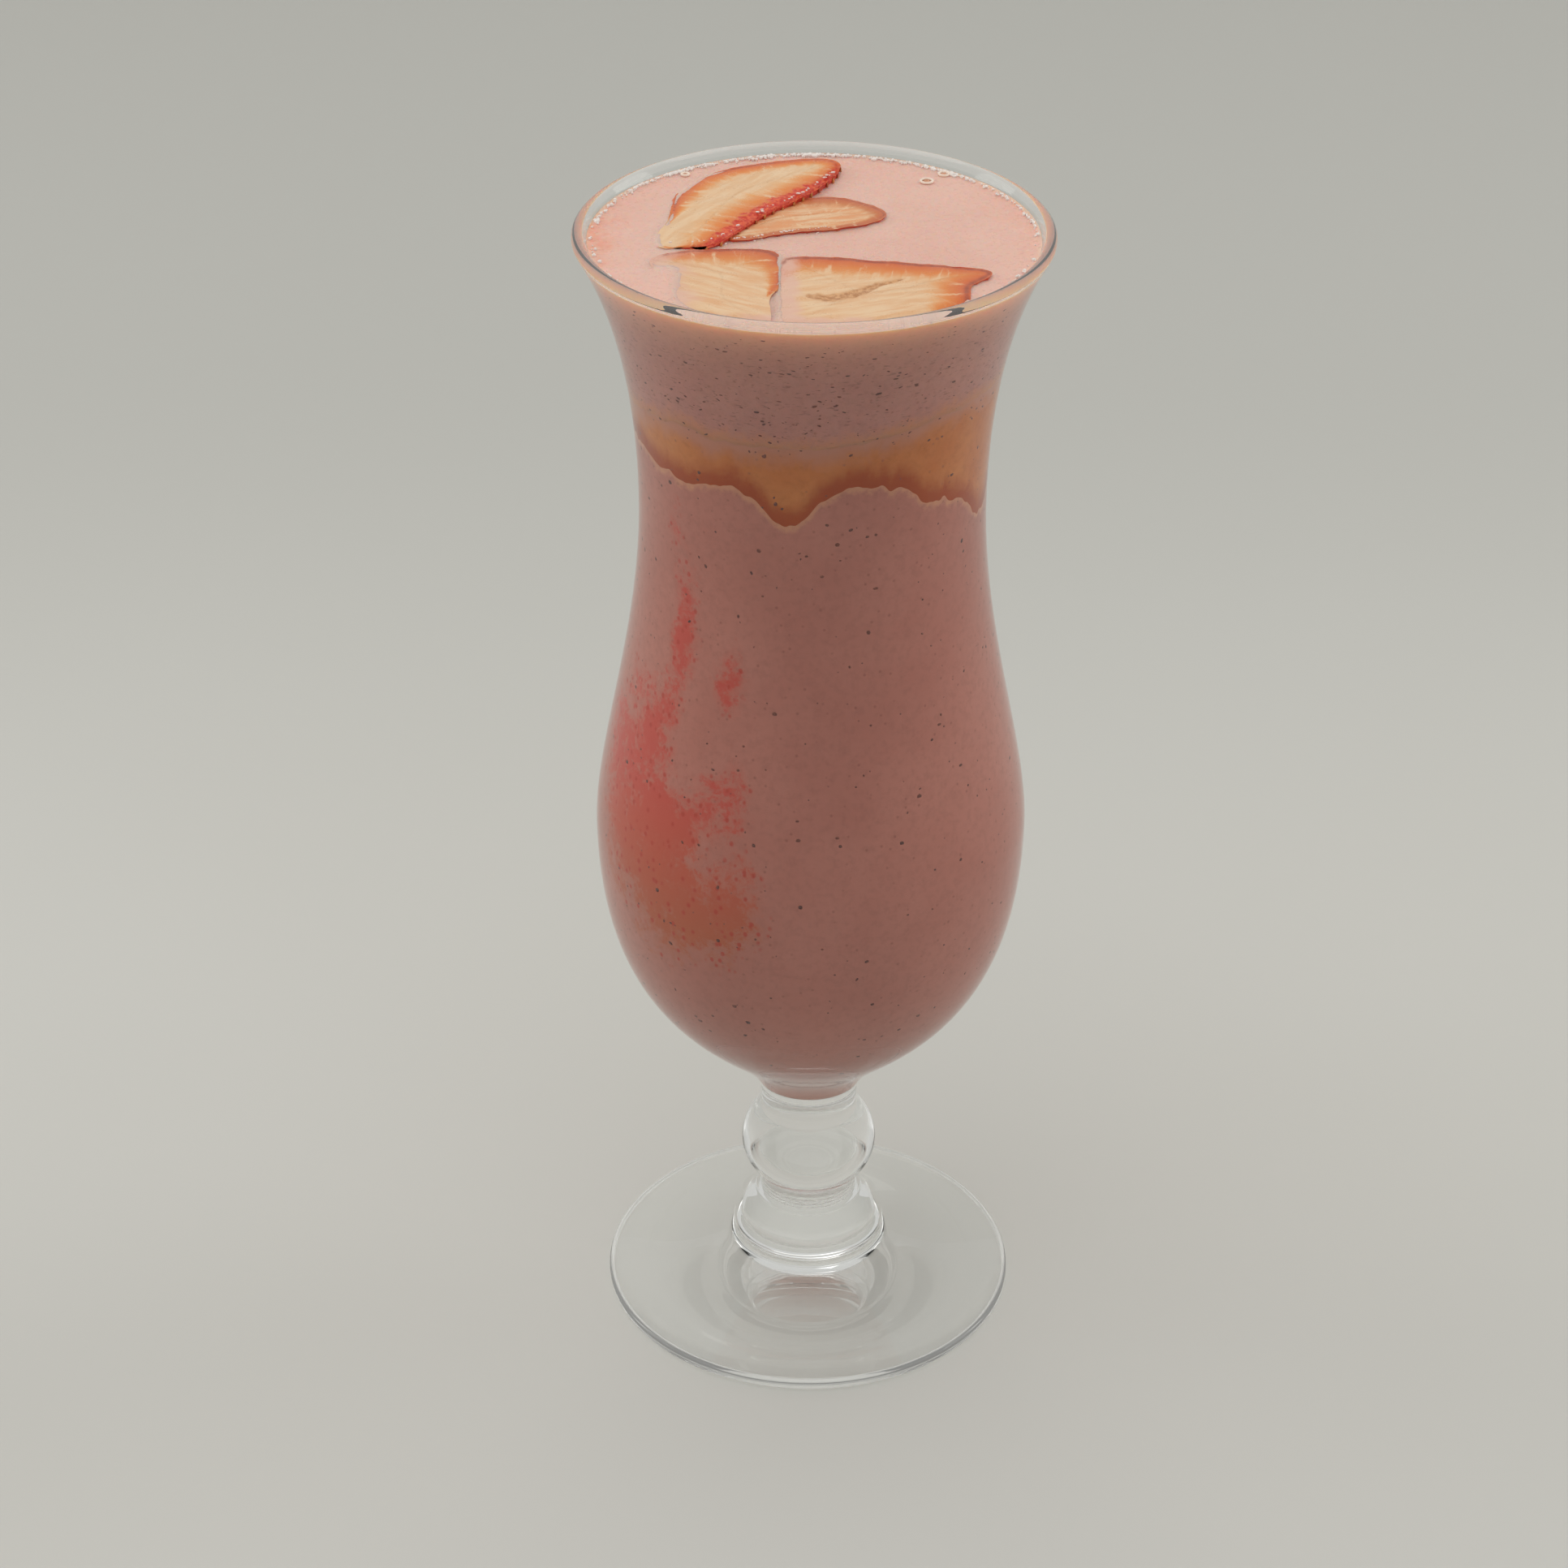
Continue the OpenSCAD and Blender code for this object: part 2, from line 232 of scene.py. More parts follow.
def blobs(centres, sizes, axes):
    """Many small ellipsoids as one mesh, each with three half sizes along its three axes."""
    base = [(0, 0, 1), (0, 0, -1)]
    base += [(math.cos(a) * math.cos(h), math.sin(a) * math.cos(h), math.sin(h))
             for h in (0.6, -0.6) for a in np.linspace(0, 2 * math.pi, 6, endpoint=False)]
    base = np.array(base)
    tris = []
    for i in range(6):
        j = (i + 1) % 6
        tris += [(0, 2 + i, 2 + j), (1, 8 + j, 8 + i), (2 + i, 8 + i, 8 + j), (2 + i, 8 + j, 2 + j)]
    verts = np.einsum("kc,nc,ncd->nkd", base, np.asarray(sizes), np.asarray(axes))
    verts += np.asarray(centres)[:, None]
    faces = [tuple(v + len(base) * n for v in t) for n in range(len(centres)) for t in tris]
    return verts.reshape(-1, 3), faces


# ---------------- material helper
class Shader:
    """A short way to write a node tree: each call adds a node and returns its output."""

    def __init__(self, name):
        self.mat = bpy.data.materials.new(name)
        self.mat.use_nodes = True
        self.nodes = self.mat.node_tree.nodes
        self.links = self.mat.node_tree.links
        self.bsdf = self.nodes["Principled BSDF"]

    def put(self, socket, value):
        if isinstance(value, bpy.types.NodeSocket):
            self.links.new(value, socket)
        elif isinstance(value, (tuple, list)) and len(value) == 3 and socket.type == "RGBA":
            socket.default_value = (*value, 1)
        else:
            socket.default_value = value

    def node(self, kind, **inputs):
        n = self.nodes.new("ShaderNode" + kind)
        for key, value in inputs.items():
            self.put(n.inputs[key], value)
        return n

    def where(self):
        return self.nodes.new("ShaderNodeNewGeometry").outputs["Position"]

    def attr(self, name):
        n = self.nodes.new("ShaderNodeAttribute")
        n.attribute_name = name
        return n.outputs["Fac"]

    def math(self, op, a, b):
        n = self.nodes.new("ShaderNodeMath")
        n.operation = op
        self.put(n.inputs[0], a)
        self.put(n.inputs[1], b)
        return n.outputs[0]

    def add(self, a, b):
        return self.math("ADD", a, b)

    def times(self, a, b):
        return self.math("MULTIPLY", a, b)

    def swing(self, value, strength):
        """A noise's value about its middle, times a strength."""
        return self.times(self.math("SUBTRACT", value, 0.5), strength)

    def scaled(self, vector, factors):
        n = self.nodes.new("ShaderNodeVectorMath")
        n.operation = "MULTIPLY"
        self.put(n.inputs[0], vector)
        n.inputs[1].default_value = factors
        return n.outputs[0]

    def vec(self, x, y):
        return self.node("CombineXYZ", X=x, Y=y).outputs[0]

    def noise(self, vector, size_mm=1.0, detail=2.0, rough=0.5, distort=0.0):
        return self.node("TexNoise", Vector=vector, Scale=1 / (size_mm * MM), Detail=detail,
                         Roughness=rough, Distortion=distort).outputs["Fac"]

    def cells(self, vector, size_mm):
        return self.node("TexVoronoi", Vector=vector, Scale=1 / (size_mm * MM)).outputs["Distance"]

    def band(self, value, low, high, to_low=0.0, to_high=1.0):
        """A smooth step of a value from low to high."""
        n = self.nodes.new("ShaderNodeMapRange")
        n.interpolation_type = "SMOOTHSTEP"
        self.put(n.inputs["Value"], value)
        for key, v in (("From Min", low), ("From Max", high), ("To Min", to_low), ("To Max", to_high)):
            n.inputs[key].default_value = v
        return n.outputs[0]

    def ramp(self, value, stops):
        n = self.nodes.new("ShaderNodeValToRGB")
        self.put(n.inputs[0], value)
        elements = n.color_ramp.elements
        while len(elements) < len(stops):
            elements.new(0.5)
        for e, (pos, colour) in zip(elements, stops):
            e.position = pos
            e.color = (*colour, 1)
        return n.outputs[0]

    def mix(self, fac, a, b):
        n = self.nodes.new("ShaderNodeMix")
        n.data_type = "RGBA"
        self.put(n.inputs["Factor"], fac)
        self.put(n.inputs["A"], a)
        self.put(n.inputs["B"], b)
        return n.outputs["Result"]

    def bump(self, height, distance_mm, strength=1.0, under=None):
        n = self.node("Bump", Strength=strength, Distance=distance_mm * MM, Height=height)
        if under is not None:
            self.put(n.inputs["Normal"], under)
        return n.outputs[0]

    def finish(self, colour, rough, normal=None, **settings):
        """Sets the surface; a setting is a socket's name in small letters with underscores."""
        self.put(self.bsdf.inputs["Base Color"], colour)
        self.put(self.bsdf.inputs["Roughness"], rough)
        if normal is not None:
            self.put(self.bsdf.inputs["Normal"], normal)
        for key, v in settings.items():
            self.bsdf.inputs[key.replace("_", " ").title().replace("Ior", "IOR")].default_value = v
        return self.mat


# ---------------- materials
def glass_material(name, clear):
    """Glass, a little milky where the share of light let through is under 1."""
    s = Shader(name)
    grain = s.noise(s.where(), 14.0, 2.0)
    return s.finish((0.985, 0.992, 0.988), s.band(grain, 0.3, 0.7, 0.0, 0.012),
                    s.bump(grain, 0.02, 0.25), transmission_weight=clear, ior=1.5)


# Light spreads a few millimetres through the top layer, red furthest
SCATTER = dict(subsurface_weight=0.6, subsurface_radius=(1.0, 0.4, 0.2), subsurface_scale=0.004)


def drink_side_material(name, pale, deep, edge_colour, edge_low, edge_high, upward=1, dash=0.0, blend=None):
    """Thick blended fruit seen through the glass, with fine pulp, specks and red pulp patches.

    The edge's colour fades out from edge_low to edge_high mm off the layer's edge, upward or downward (-1).
    """
    s = Shader(name)
    p = s.where()
    wide = s.noise(p, 22.0, 3.0, 0.55)
    fine = s.noise(p, 1.4, 4.0, 0.7)
    colour = s.mix(s.band(wide, 0.3, 0.7), deep, pale)
    colour = s.mix(s.band(fine, 0.4, 0.75, 0.0, 0.4), colour, tuple(0.74 * c for c in deep))
    motes = s.cells(p, 2.1)
    colour = s.mix(s.band(motes, 0.05, 0.17, 0.45, 0.0), colour, (0.30, 0.10, 0.07))
    # Painted light: the side turns paler pink towards the bowl's floor
    colour = s.mix(s.attr("painted_low_light"), colour, (0.78, 0.44, 0.36))
    # Red pulp lies in patches that break into grains
    grain = s.noise(p, 1.5, 5.0, 0.8, 0.3)
    clump = s.noise(p, 7.0, 4.0, 0.65, 0.6)
    dots = s.cells(s.scaled(p, (1.0, 1.0, 0.8)), 1.7)
    uneven = s.swing(clump, s.band(s.attr("pulp"), 0.02, 0.3, 0.0, 1.7))
    cover = s.add(s.attr("pulp"), uneven)
    wash = s.band(cover, 0.15, 1.0, 0.0, 0.75)
    colour = s.mix(wash, colour, s.mix(s.attr("browner"), (0.66, 0.15, 0.105), (0.58, 0.20, 0.10)))
    speckle = s.add(cover, s.swing(grain, 1.9))
    vivid = s.mix(s.attr("browner"), (0.66, 0.085, 0.06), (0.56, 0.14, 0.06))
    colour = s.mix(s.band(speckle, 0.4, 0.85, 0.0, 0.75), colour, vivid)
    spots = s.times(s.band(dots, 0.12, 0.3, 1.0, 0.0), s.band(cover, 0.1, 0.45, 0.0, 0.8))
    colour = s.mix(spots, colour, (0.56, 0.07, 0.045))
    if dash:
        streak = s.noise(s.scaled(p, (1.0, 1.0, 3.4)), 1.15, 2.0, 0.5)
        colour = s.mix(s.band(streak, 0.6, 0.7, 0.0, dash), colour, (0.27, 0.12, 0.105))
        # Painted light: the side turns bright orange just under the level, for light from the top passing into the
        # drink
        colour = s.mix(s.times(s.attr("painted_top_light"), 0.9), colour, (0.97, 0.52, 0.31))
    off = s.times(s.attr("edge"), upward)
    off = s.add(off, s.swing(fine, 3.5))
    off = s.add(off, s.swing(clump, edge_high))
    colour = s.mix(s.band(off, edge_low, edge_high, 0.85, 0.0), colour, edge_colour)
    if blend:
        off = s.add(s.attr("under_top"), s.swing(clump, 6.0))
        colour = s.mix(s.band(off, 0.0, 4.5, 0.8, 0.0), colour, blend)
    scatter = SCATTER if dash else {}
    return s.finish(colour, 0.6, s.bump(fine, 0.15, 0.3), specular_ior_level=0.1, **scatter)


def drink_top_material():
    """The drink's open surface, with pale froth, pulp at its edge and small flecks."""
    s = Shader("smoothie_surface")
    p = s.where()
    wide = s.noise(p, 18.0, 3.0, 0.6, 0.5)
    fine = s.noise(p, 1.1, 4.0, 0.65)
    colour = s.mix(s.band(wide, 0.3, 0.7), (0.80, 0.475, 0.385), (0.83, 0.52, 0.43))
    clump = s.math("SUBTRACT", s.noise(p, 4.5, 4.0, 0.7, 0.5), 0.5)
    patch = s.add(s.attr("pulp"), s.times(clump, 1.3))
    colour = s.mix(s.band(patch, 0.15, 1.0, 0.0, 0.7), colour, (0.84, 0.40, 0.28))
    grain = s.add(patch, s.swing(s.noise(p, 1.3, 4.0, 0.8), 1.6))
    colour = s.mix(s.band(grain, 0.5, 1.0, 0.0, 0.5), colour, (0.82, 0.27, 0.17))
    flecks = s.noise(p, 2.3, 5.0, 0.75)
    colour = s.mix(s.band(flecks, 0.63, 0.75, 0.0, 0.3), colour, (0.66, 0.36, 0.30))
    bump = s.bump(fine, 0.04, 0.25, s.bump(s.noise(p, 6.0, 2.0), 0.5, 0.35))
    return s.finish(colour, s.band(fine, 0.2, 0.8, 0.22, 0.38), bump, specular_ior_level=0.4, **SCATTER)


def flesh_colour(s):
    """Cut berry: cream core with fine strands, orange towards the skin and a thin dark edge, all streaked."""
    p = s.where()
    rim, arc_at = s.attr("rim"), s.attr("arc")
    soft = s.noise(p, 2.6, 3.0, 0.6)
    fine = s.noise(p, 0.7, 3.0, 0.6)
    ray = s.noise(s.vec(s.times(arc_at, MM), s.times(rim, 0.9 * MM)), 1.25, 3.0, 0.6, 0.4)
    strand = s.noise(s.vec(s.times(s.attr("own_x"), 0.16 * MM),
                           s.times(s.attr("own_y"), MM)), 1.5, 3.0, 0.6, 0.3)
    core = s.mix(s.band(strand, 0.35, 0.65), (0.80, 0.49, 0.265), (0.86, 0.60, 0.375))
    core = s.mix(s.times(s.attr("warm"), s.band(strand, 0.38, 0.6, 1.5, 0.25)), core, (0.80, 0.32, 0.13))
    depth = s.add(rim, s.swing(ray, 1.15))
    depth = s.add(depth, s.swing(soft, 0.45))
    orange = s.ramp(rim, [(0.0, (0.60, 0.115, 0.045)), (0.16, (0.72, 0.16, 0.04)), (0.5, (0.80, 0.25, 0.055)),
                          (0.9, (0.84, 0.38, 0.12))])
    orange = s.mix(s.attr("warm"), orange, (0.50, 0.16, 0.085))
    colour = s.mix(s.band(depth, 0.45, 1.15, 1.0, 0.0), core, orange)
    # Pale strands run in from the seeds, through the orange
    pale = s.times(s.band(ray, 0.57, 0.68, 0.0, 0.8), s.band(rim, 0.04, 0.3))
    colour = s.mix(pale, colour, (0.86, 0.56, 0.33))
    crumbs = s.swing(fine, s.band(s.attr("hollow"), 0.0, 0.3, 0.0, 0.9))
    hole = s.add(s.attr("hollow"), crumbs)
    brown = s.mix(s.band(fine, 0.35, 0.65), (0.44, 0.17, 0.055), (0.74, 0.40, 0.19))
    colour = s.mix(s.band(hole, 0.25, 0.85, 0.0, 0.85), colour, brown)
    veil = s.add(s.attr("veil"), s.swing(soft, 1.0))
    colour = s.mix(s.band(veil, 0.15, 0.9, 0.0, 0.85), colour, (0.80, 0.49, 0.39))
    edge = s.add(rim, s.swing(ray, 0.12))
    colour = s.mix(s.band(edge, 0.0, 0.11, 0.8, 0.0), colour, (0.33, 0.075, 0.045))
    red = s.mix(s.band(fine, 0.35, 0.7), (0.60, 0.03, 0.018), (0.86, 0.16, 0.06))
    colour = s.mix(s.attr("red"), colour, red)
    return colour, soft, fine, ray


def flesh_material():
    s = Shader("berry_flesh")
    colour, soft, fine, ray = flesh_colour(s)
    bump = s.bump(ray, 0.16, 0.4, s.bump(fine, 0.05, 0.3))
    return s.finish(colour, s.band(soft, 0.3, 0.7, 0.24, 0.44), bump, specular_ior_level=0.42)


def skin_material():
    """Wet red skin, and cut flesh where the slice has no skin."""
    s = Shader("berry_skin")
    p = s.where()
    soft = s.noise(p, 1.8, 3.0, 0.6)
    red = s.ramp(soft, [(0.3, (0.46, 0.022, 0.016)), (0.55, (0.66, 0.055, 0.03)), (0.8, (0.76, 0.17, 0.05))])
    colour = s.mix(s.attr("skin"), (0.82, 0.50, 0.34), red)
    bump = s.bump(soft, 0.3, 0.6)
    return s.finish(colour, 0.2, bump, specular_ior_level=0.6)


def speck_material(name, colours):
    s = Shader(name)
    tone = s.noise(s.where(), 2.0, 1.0)
    return s.finish(s.ramp(tone, [(0.35, colours[0]), (0.65, colours[1])]), 0.5, s.bump(tone, 0.05, 0.4))


def wet_material(name, size_mm, low, high, rough, shine):
    """Froth, a bubble's film or a wet bead: pale and glossy, in two tones; the paleness is partly a painted
    highlight.
    """
    s = Shader(name)
    return s.finish(s.mix(s.noise(s.where(), size_mm), low, high), rough, specular_ior_level=shine)


def paper_material():
    """Pale paper with painted light and shade: it darkens towards the back of the floor, and its far rise is
    brighter.
    """
    s = Shader("pale_paper")
    grain = s.noise(s.where(), 1.2, 3.0)
    wide = s.noise(s.where(), 240.0, 2.0)
    colour = s.mix(s.band(wide, 0.3, 0.7), (0.625, 0.618, 0.585), (0.640, 0.635, 0.605))
    place = s.nodes.new("ShaderNodeSeparateXYZ")
    s.put(place.inputs[0], s.where())
    # Painted shade: darker towards the back of the floor
    colour = s.mix(s.band(place.outputs["Y"], 0.08, 0.42), colour, (0.53, 0.527, 0.50))
    # Painted light: brighter towards the far rise
    colour = s.mix(s.band(place.outputs["Y"], 0.85, 1.2), colour, (0.80, 0.795, 0.765))
    return s.finish(colour, 0.7, s.bump(grain, 0.02, 0.3), specular_ior_level=0.2)


# ---------------- the glass
def build_glass():
    foot_edge_r = FOOT_EDGE / 2
    ring_in = FOOT_R - foot_edge_r - FOOT_RING
    under = bezier([ring_in, 0], [ring_in - 3, FOOT_HOLLOW * 0.9],
                   [ring_in * 0.5, FOOT_HOLLOW], [0, FOOT_HOLLOW], 24)
    foot_out = arc([FOOT_R - foot_edge_r, foot_edge_r], foot_edge_r, -90, 75, 20)
    foot_in = np.array([BELL_R + 2.6, FOOT_RISE])
    run = foot_out[-1][0] - foot_in[0]
    foot_top = bezier(foot_out[-1], foot_out[-1] + 0.28 * run * toward(168),
                      foot_in + 0.5 * run * toward(-24), foot_in, 40)
    bell_z, bell_top_z = FOOT_RISE + BELL_SIDE_H, FOOT_RISE + BELL_TOP_H
    sweep = bezier(foot_in, foot_in + 1.8 * toward(156), [BELL_R, bell_z - 2.1], [BELL_R, bell_z - 0.3], 20)
    ledge = bezier(sweep[-1], [BELL_R, bell_z], [BELL_R, bell_z], [BELL_R - 0.35, bell_z + 0.05], 6)
    rise = bezier(ledge[-1], ledge[-1] + [-0.4, 0.3], [BELL_TOP_R + 0.3, bell_top_z - 0.6],
                  [BELL_TOP_R + 0.12, bell_top_z - 0.3], 8)
    bell = bezier([BELL_TOP_R, bell_top_z], [BELL_TOP_R - 0.3, bell_top_z + 2.5],
                  [LOW_NECK_R + 2.2, LOW_NECK_Z - 3.2], [LOW_NECK_R + 0.2, LOW_NECK_Z - 1.3], 40)
    neck = bezier(bell[-1], bell[-1] + [-0.15, 0.2], [LOW_NECK_R, LOW_NECK_Z - 0.6],
                  [LOW_NECK_R, LOW_NECK_Z], 40)
    # Fine ridges round the neck and the top of the bell
    bell = np.vstack([bell, neck[1:]])
    for ridge_z in NECK_RIDGES:
        bell[:, 0] += RIDGE_RISE * np.exp(-((bell[:, 1] - ridge_z) / RIDGE_WIDTH) ** 2)
    low = math.degrees(math.asin(-math.sqrt(1 - (LOW_NECK_R / BALL_R) ** 2)))
    high = math.degrees(math.asin(math.sqrt(1 - (NECK_R / BALL_R) ** 2)))
    ball = np.array([[BALL_R * math.cos(math.radians(a)), BALL_Z + BALL_HALF_H * math.sin(math.radians(a))]
                     for a in np.linspace(low, high, 60)])
    collar_low = COLLAR_Z - BOWL_FLOOR
    collar = bezier(ball[-1] + [0, 0.35], ball[-1] + [-0.05, 2.0], [NECK_R, collar_low - 1.0],
                    [NECK_R, collar_low], 12)
    flare = bezier(collar[-1], collar[-1] + [0, 1.2], bowl_foot - 1.0 * toward(BOWL_SLOPE), bowl_foot, 14)
    lip = arc(lip_at, lip_r, BOWL_SLOPE - 90, BOWL_SLOPE + 90, 24)
    profile = np.vstack([under[::-1], foot_out, foot_top[1:], sweep[1:], ledge[1:], rise[1:], bell, ball,
                         collar, flare[1:], bowl_out[1:], lip[1:], bowl_in[::-1][1:], bowl_base[::-1][1:]])
    verts, faces = lathe(profile, 192)
    # Two thin outer edges have a milky material of their own: painted light, so that the foot's edge and the lip
    # show pale where trapped light would leave them dark
    radius, height = np.hypot(verts[:, 0], verts[:, 1]), verts[:, 2]
    at_edge = (radius > FOOT_R - foot_edge_r * 1.05) & (height < FOOT_EDGE)
    at_lip = height > GLASS_H - 1.4
    face_mats = [1 if at_edge[list(f)].all() else 2 if at_lip[list(f)].all() else 0 for f in faces]
    mats = [glass_material(*look) for look in (("clear_glass", 1.0), ("milky_foot_edge_painted_light", 0.66), ("milky_lip_painted_light", 0.86))]
    body = make_piece("glass_body", verts, faces, mats, "glass", face_mats=face_mats)
    # Clear glass lets light through to the drink and the floor
    body.visible_shadow = False


# ---------------- the drink
def heading(angle):
    """Unit vectors in the plane, at angles in degrees from the front to the right."""
    a = np.radians(angle)
    return np.c_[np.sin(a), -np.cos(a)]


def bearing(points):
    """The angle of each point, in degrees from the front to the right."""
    return np.degrees(np.arctan2(points[:, 0], -points[:, 1]))


def turn_between(angle, at):
    """How far each angle is from one angle, the short way round."""
    off = angle - at
    return off - 360 * np.round(off / 360)


def sag(sags, angle):
    """Depth of a layer's edge below its highest line: each sag is an angle, a depth and a half width."""
    total = np.zeros_like(angle)
    for at, depth, half in sags:
        total += depth * np.exp(-(turn_between(angle, at) / half) ** 2)
    return total


CAP_SAGS = [(-90, 5.5, 42), (-10, 3.6, 40), (165, 4, 50)]
BAND_SAGS = [(-52, 2.6, 22), (-9.5, 7, 11.5), (42, 4.6, 12), (75, 13.5, 22), (135, 5, 24),
             (-172, 9, 17), (-120, 6, 24)]
CAP_MID_Z, BAND_MID_Z = CAP_Z - 2, BAND_Z - 5
AROUND = 480
DISC_STEPS = 6
angles = np.linspace(0, 360, AROUND, endpoint=False)
unit_ring = heading(angles)


def ripple(size, seed):
    """Small uneven waves round the glass, about one millimetre high, from smooth noise."""
    return np.array([noise.noise(Vector((x * size, y * size, seed))) for x, y in unit_ring])


cap_edge = CAP_Z - sag(CAP_SAGS, angles) + 0.8 * ripple(5, 3.0) + 0.5 * ripple(14, 5.0)
band_edge = BAND_Z - sag(BAND_SAGS, angles) + 1.1 * ripple(8, 1.0) + 0.7 * ripple(20, 2.0)


def wall_ring(z):
    """A ring just inside the glass wall, at one height or at a height for each direction."""
    z = np.broadcast_to(np.asarray(z, float), (AROUND,))
    r = cavity_r(z) + REACH
    return np.c_[unit_ring * r[:, None], z]


def disc_rings(edge, mid_z):
    """The rings of a disc, from its edge ring in to the middle."""
    rings = [edge]
    for k in range(1, DISC_STEPS):
        t = 1 - k / DISC_STEPS
        rings.append(np.c_[edge[:, :2] * t, mid_z + (edge[:, 2] - mid_z) * t])
    return rings + [np.array([[0, 0, mid_z]])]


def side_rings(low, high, steps):
    """The rings of a layer's side, between its two edges."""
    return [wall_ring(low + (high - low) * k / steps) for k in range(steps + 1)]


def windows(angle, z, patches):
    """Sum of soft windows on the wall: each is an angle, a height, two half sizes, a lean and a strength."""
    total = np.zeros_like(z)
    for at, height, half_a, half_z, lean, strength in patches:
        da = turn_between(angle, at)
        dz = z - height
        total += strength * np.exp(-((da - lean * dz) / half_a) ** 2 - (dz / half_z) ** 2)
    return total


# Red pulp on the lower layer: a smear down the left of the front, with two lobes above, and three faint ones behind
PULP = [(-47, 147, 6, 12, 0.0, 0.8), (-53, 165, 4, 9, 0.0, 0.4), (-27, 141, 6, 6, 0.3, 0.8),
        (-55, 129, 9, 8, 0.2, 0.75), (-72, 122, 13, 14, 0.0, 0.65), (-37, 130, 5, 5, 0.0, -1.0),
        (-28, 121, 9, 7, 0.2, 0.6), (-46, 112, 15, 10, 0.0, 0.8), (-62, 106, 14, 9, 0.0, 0.55),
        (-36, 99, 20, 8, 0.0, 0.8), (-20, 106, 8, 9, 0.0, 0.35), (-46, 91, 20, 6, 0.0, 0.4),
        (150, 120, 16, 22, 0.2, 0.6), (105, 90, 14, 12, 0.1, 0.45), (-140, 140, 12, 18, -0.2, 0.5)]
# The pulp turns browner below this height, over this depth
BROWN_BELOW, BROWN_DEPTH = 118, 24


def wall_attrs(verts, edge_line, patches=()):
    """What the drink's materials read at each point: heights off an edge, pulp, and painted light at the two ends.
    """
    angle, z = bearing(verts), verts[:, 2]
    line = np.interp(angle % 360, np.r_[angles, 360], np.r_[edge_line, edge_line[0]])
    return {"edge": z - line, "pulp": np.clip(windows(angle, z, patches), -1, 1),
            "painted_top_light": np.exp((z - LEVEL) / 3.2), "painted_low_light": 0.85 * np.exp((FLOOR_Z - z) / 16.0),
            "browner": np.clip((BROWN_BELOW - z) / BROWN_DEPTH, 0, 1)}


def build_lower():
    """The pink drink up to the orange layer: it follows the bowl's floor, then the wall."""
    base = cavity[cavity[:, 1] < 158][::3]
    rings = [np.array([[0, 0, base[0][1] - REACH]])]
    for r, z in base[1:]:
        grow = REACH * min(1.0, z / (FLOOR_Z + 2))
        drop = REACH if z < FLOOR_Z + 1.2 else 0
        rings.append(np.c_[unit_ring * (r + grow), np.full(AROUND, z - drop)])
    rings += side_rings(base[-1][1], band_edge, 32)[1:]
    verts, faces = joined([rings_mesh(rings), rings_mesh(disc_rings(rings[-1], BAND_MID_Z))])
    mat = drink_side_material("smoothie_lower_side", (0.595, 0.255, 0.20), (0.55, 0.222, 0.172),
                              edge_colour=(0.72, 0.37, 0.22), edge_low=-0.2, edge_high=1.7, upward=-1)
    make_piece("lower_smoothie", verts, faces, [mat], "smoothie_lower",
               wall_attrs(verts, band_edge, PULP))


def build_band():
    """The orange layer, dark along its lower edge and blending into the drink above."""
    under = disc_rings(wall_ring(band_edge), BAND_MID_Z)[::-1]
    over = disc_rings(wall_ring(cap_edge), CAP_MID_Z)
    verts, faces = joined([rings_mesh(under), rings_mesh(side_rings(band_edge, cap_edge, 28)), rings_mesh(over)])
    mat = drink_side_material("orange_layer_side", (0.72, 0.29, 0.09), (0.62, 0.19, 0.045),
                              edge_colour=(0.40, 0.052, 0.003), edge_low=0.8, edge_high=5.2,
                              blend=(0.60, 0.29, 0.22))
    attrs = wall_attrs(verts, band_edge)
    attrs["under_top"] = -wall_attrs(verts, cap_edge)["edge"]
    make_piece("orange_fruit_layer", verts, faces, [mat], "orange_layer", attrs)


# ---------------- the slices
LEVEL_R = float(cavity_r(LEVEL))
# The slices' places are for a bowl of this radius, and spread with it
PLACED_FOR_R = 37.0
SPREAD = LEVEL_R / PLACED_FOR_R
PART_X, PART_Y, SLICE_GAP = -5.6 * SPREAD, -5.6 * SPREAD, 0.3
WALL_CLEAR = 0.8
# Beside the glass the front slices sink by up to this much
SINK = 0.75
PER_CORNER = 20
SIDE_ROWS = 12
BRIM_DROP = 0.12
# The cut face's points: their spacing, the shift of every second row, and how near they come to the outline
GRID_X, GRID_Y, GRID_SHIFT, GRID_CLEAR = 0.4, 0.36, 0.19, 0.25
